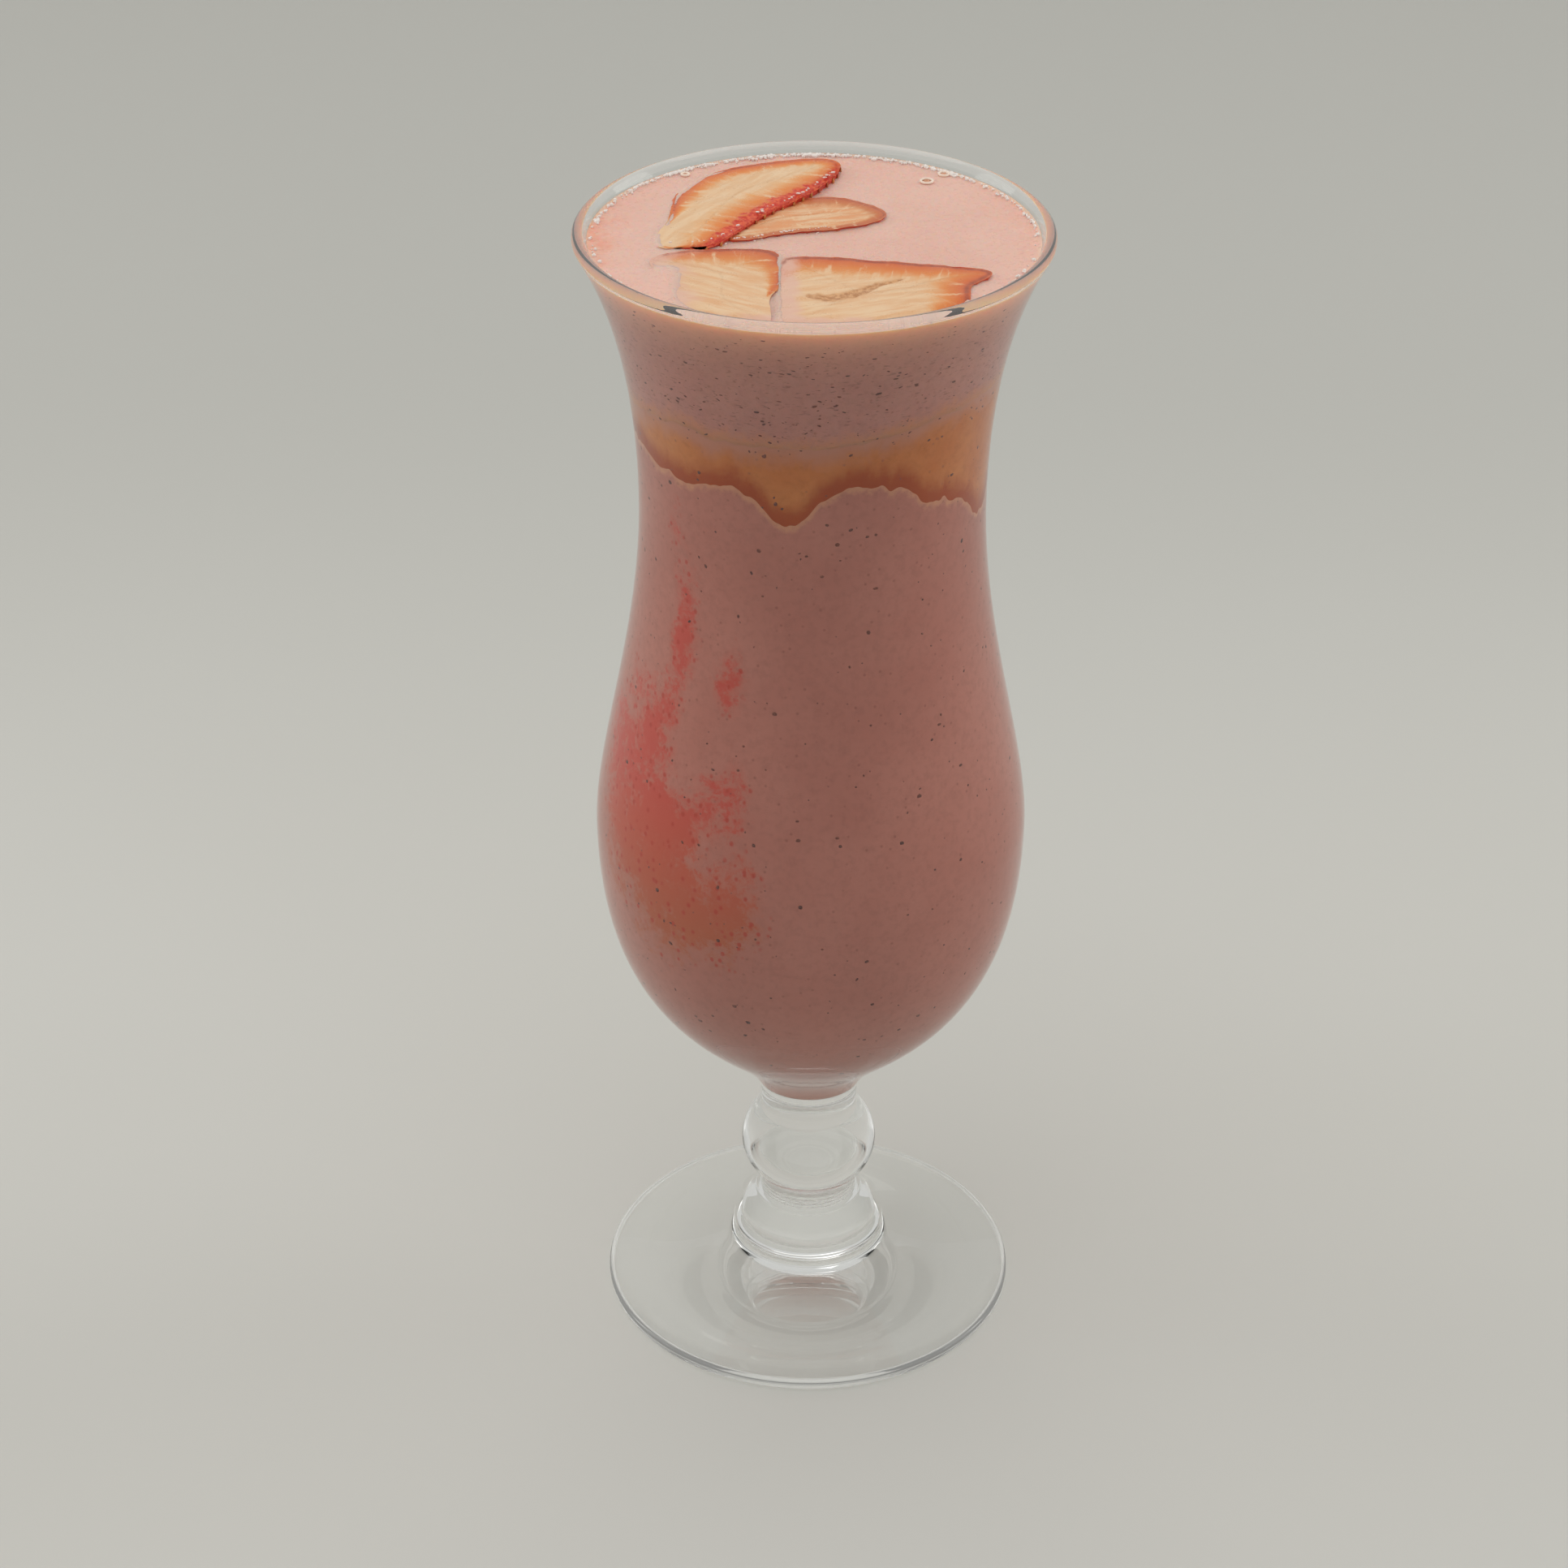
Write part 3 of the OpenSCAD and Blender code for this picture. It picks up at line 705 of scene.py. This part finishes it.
# Each corner of an outline has the width in mm of the red and orange band along the skin there, 0 where it was cut
SLICES = {
    "slice_back_large": dict(
        size=(44, 20, 4), at=(-13.7, 15.3), turn=57, top=0.85, tilt=-4, warm=0.0,
        lap=[0, 1.3, 3.0, 2.4, 0.7, 0, 0, 0, 0, 0, 0], dip=0.7,
        shape=[(0.49, -0.15, 3.0), (0.45, -0.4, 3.4), (0.2, -0.49, 7.0), (-0.1, -0.43, 8.2), (-0.38, -0.42, 6.0),
               (-0.49, -0.25, 1.2), (-0.48, 0.02, 0.2), (-0.28, 0.18, 0.5), (-0.06, 0.43, 4.4), (0.15, 0.49, 4.6),
               (0.35, 0.24, 3.8)]),
    "slice_back_small": dict(
        size=(27, 13, 3), at=(-2.5, 8.2), turn=17, top=0.5, tilt=0, warm=0.55,
        shape=[(0.5, -0.25, 2.4), (0.38, -0.43, 1.3), (0.18, -0.49, 1.1), (-0.15, -0.45, 1.2), (-0.42, -0.5, 1.4),
               (-0.5, -0.32, 1.5), (-0.3, 0.3, 2.4), (0, 0.5, 3.0), (0.28, 0.42, 3.0), (0.44, 0.12, 2.6)]),
    "slice_front_right": dict(
        size=(37, 29, 3.5), at=(9.5, -20.8), turn=20, top=0.5, tilt=0, warm=0.1,
        shape=[(0.5, -0.02, 5.0), (0.37, -0.17, 6.5), (0.28, -0.39, 5.0), (0.07, -0.5, 2.2), (-0.15, -0.5, 0),
               (-0.38, -0.42, 0), (-0.5, -0.28, 0), (-0.46, -0.08, 0), (-0.37, 0.2, 0.5), (-0.29, 0.44, 4.5),
               (-0.19, 0.5, 6.5), (0.17, 0.25, 6.5)]),
    "slice_front_left": dict(
        size=(28, 26, 3.5), at=(-14.2, -18.5), turn=150, top=0.5, tilt=0, warm=0.15,
        shape=[(0.5, -0.05, 1.2), (0.41, -0.24, 4.5), (0.1, -0.48, 7.0), (-0.06, -0.48, 7.0), (-0.19, -0.34, 3.4),
               (-0.28, -0.1, 1.8), (-0.33, 0.12, 0), (-0.48, 0.4, 0), (-0.4, 0.5, 0), (-0.17, 0.5, 0),
               (0.04, 0.43, 0), (0.38, 0.1, 0.4)]),
}
HOLLOW_PATH = [(-0.8, -24.0), (2.6, -24.8), (6.4, -23.0), (10.0, -19.6), (13.5, -17.6)]


def turned(xy, degrees):
    """Points in the plane, turned about the origin."""
    x, y = xy.T
    a = math.radians(degrees)
    return np.stack([x * math.cos(a) - y * math.sin(a), x * math.sin(a) + y * math.cos(a)], -1)


def to_world(local, spec):
    """From a slice's own frame to the row frame, in millimetres."""
    t = math.radians(spec["tilt"])
    x, y, z = local.T
    y, z = y * math.cos(t) - z * math.sin(t), y * math.sin(t) + z * math.cos(t)
    return np.c_[turned(np.c_[x, y], spec["turn"]) + np.array(spec["at"]) * SPREAD, z + LEVEL + spec["top"]]


def confine(world, name):
    """Keeps a slice's points on its own side of the parting lines and off the wall."""
    edge = SLICE_GAP / 2
    if name.startswith("slice_front"):
        world[:, 1] = np.minimum(world[:, 1], PART_Y - edge)
    else:
        world[:, 1] = np.maximum(world[:, 1], PART_Y + edge)
    if name == "slice_front_right":
        world[:, 0] = np.maximum(world[:, 0], PART_X + edge)
    if name == "slice_front_left":
        world[:, 0] = np.minimum(world[:, 0], PART_X - edge)
    r = np.hypot(world[:, 0], world[:, 1])
    limit = cavity_r(np.clip(world[:, 2], 150, 209)) - WALL_CLEAR
    over = r > limit
    world[over, :2] *= (limit[over] / r[over])[:, None]
    return world


def trimmed(outline, traits, spec, name):
    """An outline cut back to the parting lines and the wall, with its points spread evenly again.

    Its traits are spread with it, and are 0 where it was cut back.
    """
    before = to_world(np.c_[outline, np.zeros(len(outline))], spec)
    world = confine(before.copy(), name)
    moved = np.hypot(*(world - before)[:, :2].T)
    cut = turned(world[:, :2] - np.array(spec["at"]) * SPREAD, -spec["turn"])
    traits = [np.where(moved > 0.6, 0.0, t) for t in traits]
    loop = np.vstack([cut, cut[:1]])
    run = np.r_[0, np.cumsum(np.linalg.norm(np.diff(loop, axis=0), axis=1))]
    at_run = np.linspace(0, run[-1], len(cut), endpoint=False)
    even = np.c_[np.interp(at_run, run, loop[:, 0]), np.interp(at_run, run, loop[:, 1])]
    return even, [np.interp(at_run, run, np.r_[t, t[0]]) for t in traits]


def segment_distance(points, path):
    """Distance of each point to a polyline, and how far along the polyline the nearest point lies."""
    path = np.asarray(path, float)
    best = np.full(len(points), 1e9)
    where = np.zeros(len(points))
    run = 0.0
    for a, b in zip(path[:-1], path[1:]):
        ab = b - a
        length = np.linalg.norm(ab)
        if length < 1e-9:
            continue
        t = np.clip(((points - a) @ ab) / length**2, 0, 1)
        d = np.linalg.norm(points - (a + t[:, None] * ab), axis=1)
        near = d < best
        best[near], where[near] = d[near], run + t[near] * length
        run += length
    return best, where


def soft_noise(points, size_mm, seed):
    """Smooth noise from -1 to 1 at points in the plane, with features of this size."""
    return np.array([noise.noise(Vector((p[0] / size_mm, p[1] / size_mm, seed))) for p in points])


def stalk_dip(spec, local):
    """How far the raised slice's stalk end lies below its middle."""
    length, share = spec["size"][0], spec.get("dip", 0.0)
    return share * np.clip((-0.12 * length - local[:, 0]) / (0.36 * length), 0, 1) ** 1.5


def cut_face(brim):
    """An even mesh of small triangles in a closed outline: its points, the outline's first, and its triangles."""
    lo, hi = brim.min(0), brim.max(0)
    grid = np.array([(x + (GRID_SHIFT if j % 2 else 0), y) for j, y in enumerate(np.arange(lo[1], hi[1], GRID_Y))
                     for x in np.arange(lo[0], hi[0], GRID_X)])
    inside = np.zeros(len(grid), bool)
    for p, q in zip(brim, np.roll(brim, -1, 0)):
        crosses = (p[1] > grid[:, 1]) != (q[1] > grid[:, 1])
        with np.errstate(divide="ignore", invalid="ignore"):
            at = (q[0] - p[0]) * (grid[:, 1] - p[1]) / (q[1] - p[1]) + p[0]
        inside ^= crosses & (grid[:, 0] < at)
    near = np.min(np.linalg.norm(grid[:, None] - brim[None], axis=2), axis=1)
    grid = grid[inside & (near > GRID_CLEAR)]
    points, _, tris, *_ = delaunay_2d_cdt([Vector(p) for p in np.vstack([brim, grid])], [],
                                          [list(range(len(brim)))], 1, 1e-6)
    return np.array([tuple(p) for p in points]), tris


def build_slice(name, flesh, skin):
    """One slice: returns its outline in the row frame, and where its seeds lie and face."""
    spec = SLICES[name]
    length, width, thick = spec["size"]
    outline = curve_through(np.array(spec["shape"]) * [length, width, 1], PER_CORNER)
    lap = np.repeat(spec.get("lap", [0.0] * len(spec["shape"])), PER_CORNER)
    lap = np.convolve(np.tile(lap, 3), np.ones(PER_CORNER) / PER_CORNER, "same")[len(lap):2 * len(lap)]
    outline, (band, lap) = trimmed(outline[:, :2], [np.clip(outline[:, 2], 0, None), lap], spec, name)
    step = np.linalg.norm(np.roll(outline, -1, 0) - outline, axis=1)
    arc_at = np.cumsum(step) - step[0]
    normal = np.roll(outline, -1, 0) - np.roll(outline, 1, 0)
    normal = np.c_[normal[:, 1], -normal[:, 0]] / np.linalg.norm(normal, axis=1)[:, None]
    skin_here = np.clip(band / 1.2, 0, 1)
    # Seed dimples along the skin in two staggered rows, which also notch its top edge
    seeds = [(k, (0.75 if i % 2 else 1.9) + 0.35 * rng.random()) for i, k in enumerate(
        np.searchsorted(arc_at, np.arange(1.0, arc_at[-1], 1.25))) if skin_here[k % len(outline)] > 0.5]

    def side_offset(drop):
        dent = np.zeros(len(outline))
        for k, depth in seeds:
            gap = np.abs(arc_at - arc_at[k])
            gap = np.minimum(gap, arc_at[-1] - gap)
            dent += 0.34 * np.exp(-(gap / 0.55) ** 2 - ((drop - depth) / 0.7) ** 2)
        bulge = 0.45 * math.sin(math.pi * min(1.0, drop / thick)) - 0.45
        return (0.15 * soft_noise(outline, 2.5, length) + bulge - dent * skin_here)[:, None]

    n = len(outline)
    drops = [thick - (thick - BRIM_DROP) * (k / SIDE_ROWS) ** 0.8 for k in range(SIDE_ROWS + 1)]
    verts, faces = rings_mesh([np.c_[outline + normal * side_offset(d), np.full(n, -d)] for d in drops])
    faces.append(tuple(range(n - 1, -1, -1)))
    skin_faces = len(faces)
    # The cut face: the top ring drawn in a little and filled
    plane, tris = cut_face(outline + normal * (side_offset(BRIM_DROP) - 0.14))
    first = len(verts)
    top_ring = first - n
    verts = np.vstack([verts, np.c_[plane, np.zeros(len(plane))]])
    faces += [tuple(first + i for i in tri) for tri in tris]
    for i in range(n):
        j = (i + 1) % n
        faces.append((top_ring + i, top_ring + j, first + j, first + i))
    face_mats = [1] * skin_faces + [0] * (len(faces) - skin_faces)
    # Nearness to the skin: 0 at the skin, 1 where its colour has faded out
    gaps = np.linalg.norm(verts[:, None, :2] - outline[None], axis=2)
    ragged = soft_noise(verts, 1.2, 2.0)
    rim = np.min(gaps / np.maximum(band, 0.02)[None], axis=1)
    nearest = gaps.argmin(1)
    red = np.clip((lap[nearest] * (1 + 0.85 * ragged) - gaps.min(1)) / 0.35, 0, 1) * (lap[nearest] > 0.05)
    world = confine(to_world(verts, spec), name)
    top = np.arange(len(verts)) >= first
    world[top, 2] -= (0.55 * red * np.clip(1 - gaps.min(1) / 2.2, 0, 1) + 0.25 * red * ragged)[top]
    hollow, veil = np.zeros(len(world)), np.zeros(len(world))
    grainy = soft_noise(world, 1.1, 4.0)
    if name == "slice_front_right":
        d, run = segment_distance(world[:, :2], HOLLOW_PATH)
        wide = np.interp(run, [0, 3, 7, 12, 16], [0.9, 1.5, 1.3, 0.8, 0.4])
        hollow = np.clip(1.5 - d / wide + 0.5 * grainy, 0, 1)
        world[top, 2] -= 0.35 * hollow[top]
        veil = np.clip((-31.5 - world[:, 1]) / 3.0, 0, 1) + np.clip((-1.0 - world[:, 0]) / 3.4, 0, 0.8)
    if name == "slice_front_left":
        wander = soft_noise(world, 7.0, 3.0)
        veil = np.clip((-16.0 - world[:, 0] + 4 * wander) / 9.0, 0, 1) + np.clip((-30.0 - world[:, 1]) / 4.0, 0, 1)
    world[:, 2] -= stalk_dip(spec, verts)
    if name.startswith("slice_front"):
        # Beside the glass the drink washes over the fruit
        world[:, 2] -= SINK * np.clip((np.hypot(*world[:, :2].T) - LEVEL_R + 3.0) / 2.0, 0, 1)
    # Low uneven relief on the cut face
    world[top, 2] += 0.16 * soft_noise(world[top], 3.6, 9.0) + 0.05 * grainy[top] - 0.1
    attrs = {"rim": rim, "arc": arc_at[nearest], "hollow": hollow, "veil": np.clip(veil, 0, 1),
             "skin": skin_here[nearest], "red": red, "own_x": verts[:, 0], "own_y": verts[:, 1],
             "warm": np.full(len(world), spec["warm"])}
    make_piece(name + "_fruit", world, faces, [flesh, skin], name, attrs, face_mats)
    seed_spots = []
    for k, drop in seeds:
        spot = np.r_[outline[k] + normal[k] * (side_offset(drop)[k] - 0.02), -drop]
        spot = confine(to_world(spot[None], spec), name)[0] - [0, 0, stalk_dip(spec, spot[None])[0]]
        if np.hypot(spot[0], spot[1]) < LEVEL_R - 1.2:
            seed_spots.append((spot, np.r_[turned(normal[k], spec["turn"]), 0]))
    return to_world(np.c_[outline, np.zeros(n)], spec), seed_spots


# ---------------- the drink's top
def build_upper(outlines):
    """The pink drink at the rim: its side, and an open surface that rises to the glass and to the fruit."""
    edge_r = LEVEL_R + REACH
    rings = [np.c_[unit_ring * edge_r * (1 - (k / 90) ** 1.25), np.full(AROUND, LEVEL)] for k in range(90)]
    under = rings_mesh(disc_rings(wall_ring(cap_edge), CAP_MID_Z)[::-1])
    side = rings_mesh(side_rings(cap_edge, LEVEL + CLIMB, 40))
    verts, faces = joined([under, side, rings_mesh(rings + [np.array([[0, 0, LEVEL]])])])
    first_top = len(under[0]) + len(side[0])
    top = np.arange(len(verts)) >= first_top
    xy = verts[:, :2]
    r = np.hypot(*xy.T)
    # The drink climbs the glass and each slice a little, and has a soft swell
    near = np.full(len(verts), 1e9)
    for world, _ in outlines:
        loop = np.vstack([world[:, :2], world[:1, :2]])
        d, _ = segment_distance(xy[top], loop)
        near[top] = np.minimum(near[top], d)
    swell = np.array([noise.noise(Vector((x * 0.11, y * 0.11, 6.0))) for x, y in xy[top]])
    # The disc's edge stays level with the top of the side, so that no slit shows between them
    free = np.clip((edge_r - r[top]) / 1.6, 0, 1)
    verts[top, 2] = (LEVEL - 0.1 + 0.22 * np.exp(-(edge_r - r[top]) / 0.9)
                     + free * (0.3 * np.exp(-near[top] / 0.7) + 0.14 * swell))
    # It wells up between the front slices, and laps over the left one's tip
    gap = np.exp(-((xy[top, 0] - PART_X) / 0.7) ** 2) * (xy[top, 1] < PART_Y)
    verts[top, 2] += 0.26 * gap * free
    left = np.array(SLICES["slice_front_left"]["at"]) + [-9.0, 0.0]
    lap = np.exp(-((xy[top, 0] - left[0]) / 3.2) ** 2 - ((xy[top, 1] - left[1]) / 9.0) ** 2)
    verts[top, 2] += 0.75 * lap * free
    attrs = wall_attrs(verts, cap_edge)
    angle = bearing(xy)
    rim_zone = np.exp(-((edge_r - r) / 7.0) ** 2)
    pulp = rim_zone * (0.65 * np.exp(-((angle + 92) / 26) ** 2) + 0.25 * np.exp(-((angle - 100) / 30) ** 2) + 0.1)
    attrs["pulp"] = np.where(top, pulp, 0)
    face_mats = [1 if min(f) >= first_top else 0 for f in faces]
    side_mat = drink_side_material("smoothie_upper_side", (0.60, 0.30, 0.245), (0.55, 0.265, 0.22), dash=0.55,
                                   edge_colour=(0.66, 0.28, 0.14), edge_low=-0.5, edge_high=3.4)
    make_piece("upper_smoothie", verts, faces, [side_mat, drink_top_material()], "smoothie_upper",
               attrs, face_mats)


# ---------------- small things
def build_specks():
    """Seed and skin fragments just behind the glass: level dashes above the orange layer, grains below it."""
    n = 1500
    angle = rng.uniform(-180, 180, n)
    z = np.where(rng.random(n) < 0.45, rng.uniform(183, 206.5, n), rng.uniform(56, 178, n))
    above = z > 184
    r = cavity_r(z) + REACH
    out = np.c_[heading(angle), np.zeros(n)]
    up = np.tile([0.0, 0.0, 1.0], (n, 1))
    side = np.cross(up, out)
    spin = np.where(above, rng.normal(0, 0.35, n), rng.uniform(0, math.pi, n))
    u = side * np.cos(spin)[:, None] + up * np.sin(spin)[:, None]
    v = -side * np.sin(spin)[:, None] + up * np.cos(spin)[:, None]
    half = 0.16 + 0.42 * rng.random(n) ** 2.5
    slim = np.where(above, rng.uniform(0.25, 0.6, n), rng.uniform(0.5, 0.95, n))
    sizes = np.c_[half, half * slim, np.full(n, 0.06)]
    verts, faces = blobs(out * r[:, None] + np.c_[np.zeros((n, 2)), z], sizes, np.stack([u, v, out], 1))
    mat = speck_material("seed_fragment", ((0.13, 0.05, 0.04), (0.25, 0.08, 0.05)))
    make_piece("seed_fragments", verts, faces, [mat])


def build_froth():
    """Tiny pale bubbles where the drink meets the glass, most of them at the back: partly froth and partly a
    painted highlight along the meniscus.
    """
    n = 760
    angle = np.where(rng.random(n) < 0.86, rng.normal(184, 38, n), rng.uniform(-180, 180, n))
    angle += 5 * np.sin(np.radians(angle * 9))
    size = 0.12 + 0.3 * rng.random(n) ** 2
    r = LEVEL_R - 0.25 - np.abs(rng.normal(0, 0.4, n))
    z = LEVEL + 0.02 + 0.15 * np.exp(-(LEVEL_R - r) / 0.9)
    verts, faces = blobs(np.c_[heading(angle) * r[:, None], z], np.repeat(size[:, None], 3, 1),
                         np.tile(np.eye(3), (n, 1, 1)))
    mat = wet_material("froth", 1.0, (0.92, 0.80, 0.74), (0.97, 0.94, 0.91), 0.08, 0.8)
    make_piece("froth_and_painted_highlights", verts, faces, [mat])


def torus(centre, major, minor, around=28, sides=8):
    rings = []
    for i in range(around + 1):
        a = 2 * math.pi * i / around
        rings.append(np.array([(centre[0] + (major + minor * math.cos(b)) * math.cos(a),
                                centre[1] + (major + minor * math.cos(b)) * math.sin(a),
                                centre[2] + minor * math.sin(b))
                               for b in np.linspace(0, 2 * math.pi, sides, endpoint=False)]))
    return rings_mesh(rings)


def build_bubbles():
    """Larger bubbles resting on the drink: a thick pale ring, a painted highlight on the bubble's film, with a dark
    eye.
    """
    rings, eyes = [], []
    for x, y, size in ((18.9, 24.2, 1.0), (21.9, 27.4, 0.85), (-21.4, 27.0, 0.6)):
        rings.append(torus((x, y, LEVEL + 0.12), size, 0.24))
        eyes.append(torus((x, y, LEVEL + 0.02), size * 0.3, 0.22))
    film = wet_material("bubble_film_painted_highlight", 0.5, (0.95, 0.72, 0.56), (0.98, 0.88, 0.78), 0.1, 0.8)
    eye = speck_material("bubble_eye", ((0.62, 0.28, 0.16), (0.72, 0.36, 0.22)))
    verts, faces = joined(rings + eyes)
    count = sum(len(f) for _, f in rings)
    face_mats = [0] * count + [1] * (len(faces) - count)
    make_piece("surface_bubbles", verts, faces, [film, eye], face_mats=face_mats)


def build_glints(outlines):
    """Small pale glossy beads, partly wet drops and partly painted highlights, along the skin of the raised slice
    and the front edges of the slices at the back.
    """
    centres, sizes = [], []
    for (world, _), (start, end) in zip(outlines[:2], ((0.05, 0.5), (0.15, 0.48))):
        for _ in range(70):
            k = int(len(world) * rng.uniform(start, end))
            inward = (world.mean(0) - world[k])[:2]
            inward /= np.linalg.norm(inward)
            step = rng.uniform(-0.9, 1.2)
            lift = -0.06 if step > 0 else -(world[k][2] - LEVEL) - 0.1
            centres.append(world[k] + [*(inward * step), lift - 0.1 * step])
            size = 0.1 + 0.22 * rng.random() ** 2
            sizes.append((size * 1.6, size, size * 0.5))
    angle = rng.uniform(0, math.pi, len(centres))
    axes = np.stack([np.c_[np.cos(angle), np.sin(angle), 0 * angle],
                     np.c_[-np.sin(angle), np.cos(angle), 0 * angle],
                     np.tile([0.0, 0.0, 1.0], (len(angle), 1))], 1)
    verts, faces = blobs(centres, sizes, axes)
    mat = wet_material("painted_glint_bead", 0.8, (0.90, 0.62, 0.52), (0.97, 0.90, 0.86), 0.06, 0.9)
    make_piece("painted_glint_beads", verts, faces, [mat])


def build_achenes(outlines):
    """Seeds in the dimples of the slices' skin."""
    centres, axes = [], []
    for _, seed_spots in outlines:
        for spot, out in seed_spots:
            centres.append(spot)
            axes.append(np.stack([np.cross([0, 0, 1], out), out, [0, 0, 1]]))
    verts, faces = blobs(centres, np.tile((0.34, 0.2, 0.52), (len(centres), 1)), np.array(axes))
    mat = speck_material("berry_seed", ((0.62, 0.24, 0.06), (0.42, 0.07, 0.03)))
    make_piece("berry_seeds", verts, faces, [mat])


# ---------------- stage, lights, camera
def build_stage():
    """Pale paper: flat under the glass, then one smooth sweep up behind it."""
    front, bend, radius, high, half = -1500.0, 1200.0, 260.0, 900.0, 1500.0
    profile = [(y, 0.0) for y in np.linspace(front, bend, 30)]
    profile += [(bend + radius * math.sin(a), radius * (1 - math.cos(a)))
                for a in np.linspace(0, math.pi / 2, 40)[1:]]
    profile += [(bend + radius, z) for z in np.linspace(radius, high, 10)[1:]]
    xs = np.linspace(-half, half, 41)
    verts = [(x, y, z - 0.05) for y, z in profile for x in xs]
    n = len(xs)
    faces = [(j * n + i, j * n + i + 1, (j + 1) * n + i + 1, (j + 1) * n + i)
             for j in range(len(profile) - 1) for i in range(n - 1)]
    add_object("paper_sweep", smooth_mesh("paper_sweep", verts, faces, [paper_material()]))


def area_light(name, place, aim, size, power, colour):
    """A soft light that isn't seen in the glass."""
    light = bpy.data.lights.new(name, "AREA")
    light.shape = "RECTANGLE"
    light.size, light.size_y = size
    light.energy = power
    light.color = colour
    obj = add_object(name, light)
    obj.location = place
    obj.rotation_euler = (Vector(aim) - Vector(place)).to_track_quat("-Z", "Y").to_euler()
    obj.visible_glossy = False


def build_lights():
    area_light("overhead", (-0.15, 0.12, 1.25), (0, 0.05, 0.1), (1.3, 0.9), 3.5, (1.0, 0.99, 0.97))
    area_light("left_side", (-1.1, 0.25, 0.55), (0, 0, 0.12), (0.5, 0.7), 2.2, (1.0, 0.99, 0.96))
    area_light("right_side", (1.1, 0.25, 0.55), (0, 0, 0.12), (0.5, 0.7), 2.6, (1.0, 0.99, 0.96))
    area_light("front_fill", (-0.3, -1.5, 0.6), (0, 0, 0.12), (1.6, 1.0), 0.7, (1.0, 0.985, 0.96))
    world = bpy.data.worlds.new("studio_air")
    world.use_nodes = True
    # The air is a little brighter above and behind than below and on the camera's side
    nodes, links = world.node_tree.nodes, world.node_tree.links
    nodes["Background"].inputs[0].default_value = (0.9, 0.9, 0.87, 1)
    way = nodes.new("ShaderNodeSeparateXYZ")
    links.new(nodes.new("ShaderNodeTexCoord").outputs["Generated"], way.inputs[0])
    lean = nodes.new("ShaderNodeMath")
    lean.operation = "MULTIPLY_ADD"
    links.new(way.outputs["Z"], lean.inputs[0])
    lean.inputs[1].default_value = 0.9
    links.new(way.outputs["Y"], lean.inputs[2])
    fade = nodes.new("ShaderNodeMapRange")
    fade.interpolation_type = "SMOOTHSTEP"
    links.new(lean.outputs[0], fade.inputs["Value"])
    for key, v in (("From Min", -0.75), ("From Max", 0.1), ("To Min", 0.56), ("To Max", 0.67)):
        fade.inputs[key].default_value = v
    links.new(fade.outputs[0], nodes["Background"].inputs[1])
    bpy.context.scene.world = world


def build_camera():
    """The photo's view: its place, how far it looks down, its roll and its lens."""
    place, down, roll, lens = (-0.004683, -0.55986, 0.43974), 30.82, 0.109, 85.47
    camera = bpy.data.cameras.new("camera")
    camera.sensor_width = 36
    camera.lens = lens
    camera.clip_start = 0.01
    obj = add_object("camera", camera)
    turn = Matrix.Rotation(math.radians(90 - down), 4, "X") @ Matrix.Rotation(math.radians(roll), 4, "Z")
    obj.matrix_world = Matrix.Translation(place) @ turn
    bpy.context.scene.camera = obj


build_glass()
build_lower()
build_band()
flesh_mat, skin_mat = flesh_material(), skin_material()
slice_outlines = [build_slice(name, flesh_mat, skin_mat) for name in SLICES]
build_upper(slice_outlines)
build_specks()
build_froth()
build_bubbles()
build_achenes(slice_outlines)
build_glints(slice_outlines)
build_stage()
build_lights()
build_camera()

bpy.context.scene.view_settings.view_transform = "Standard"
bpy.context.scene.view_settings.look = "None"
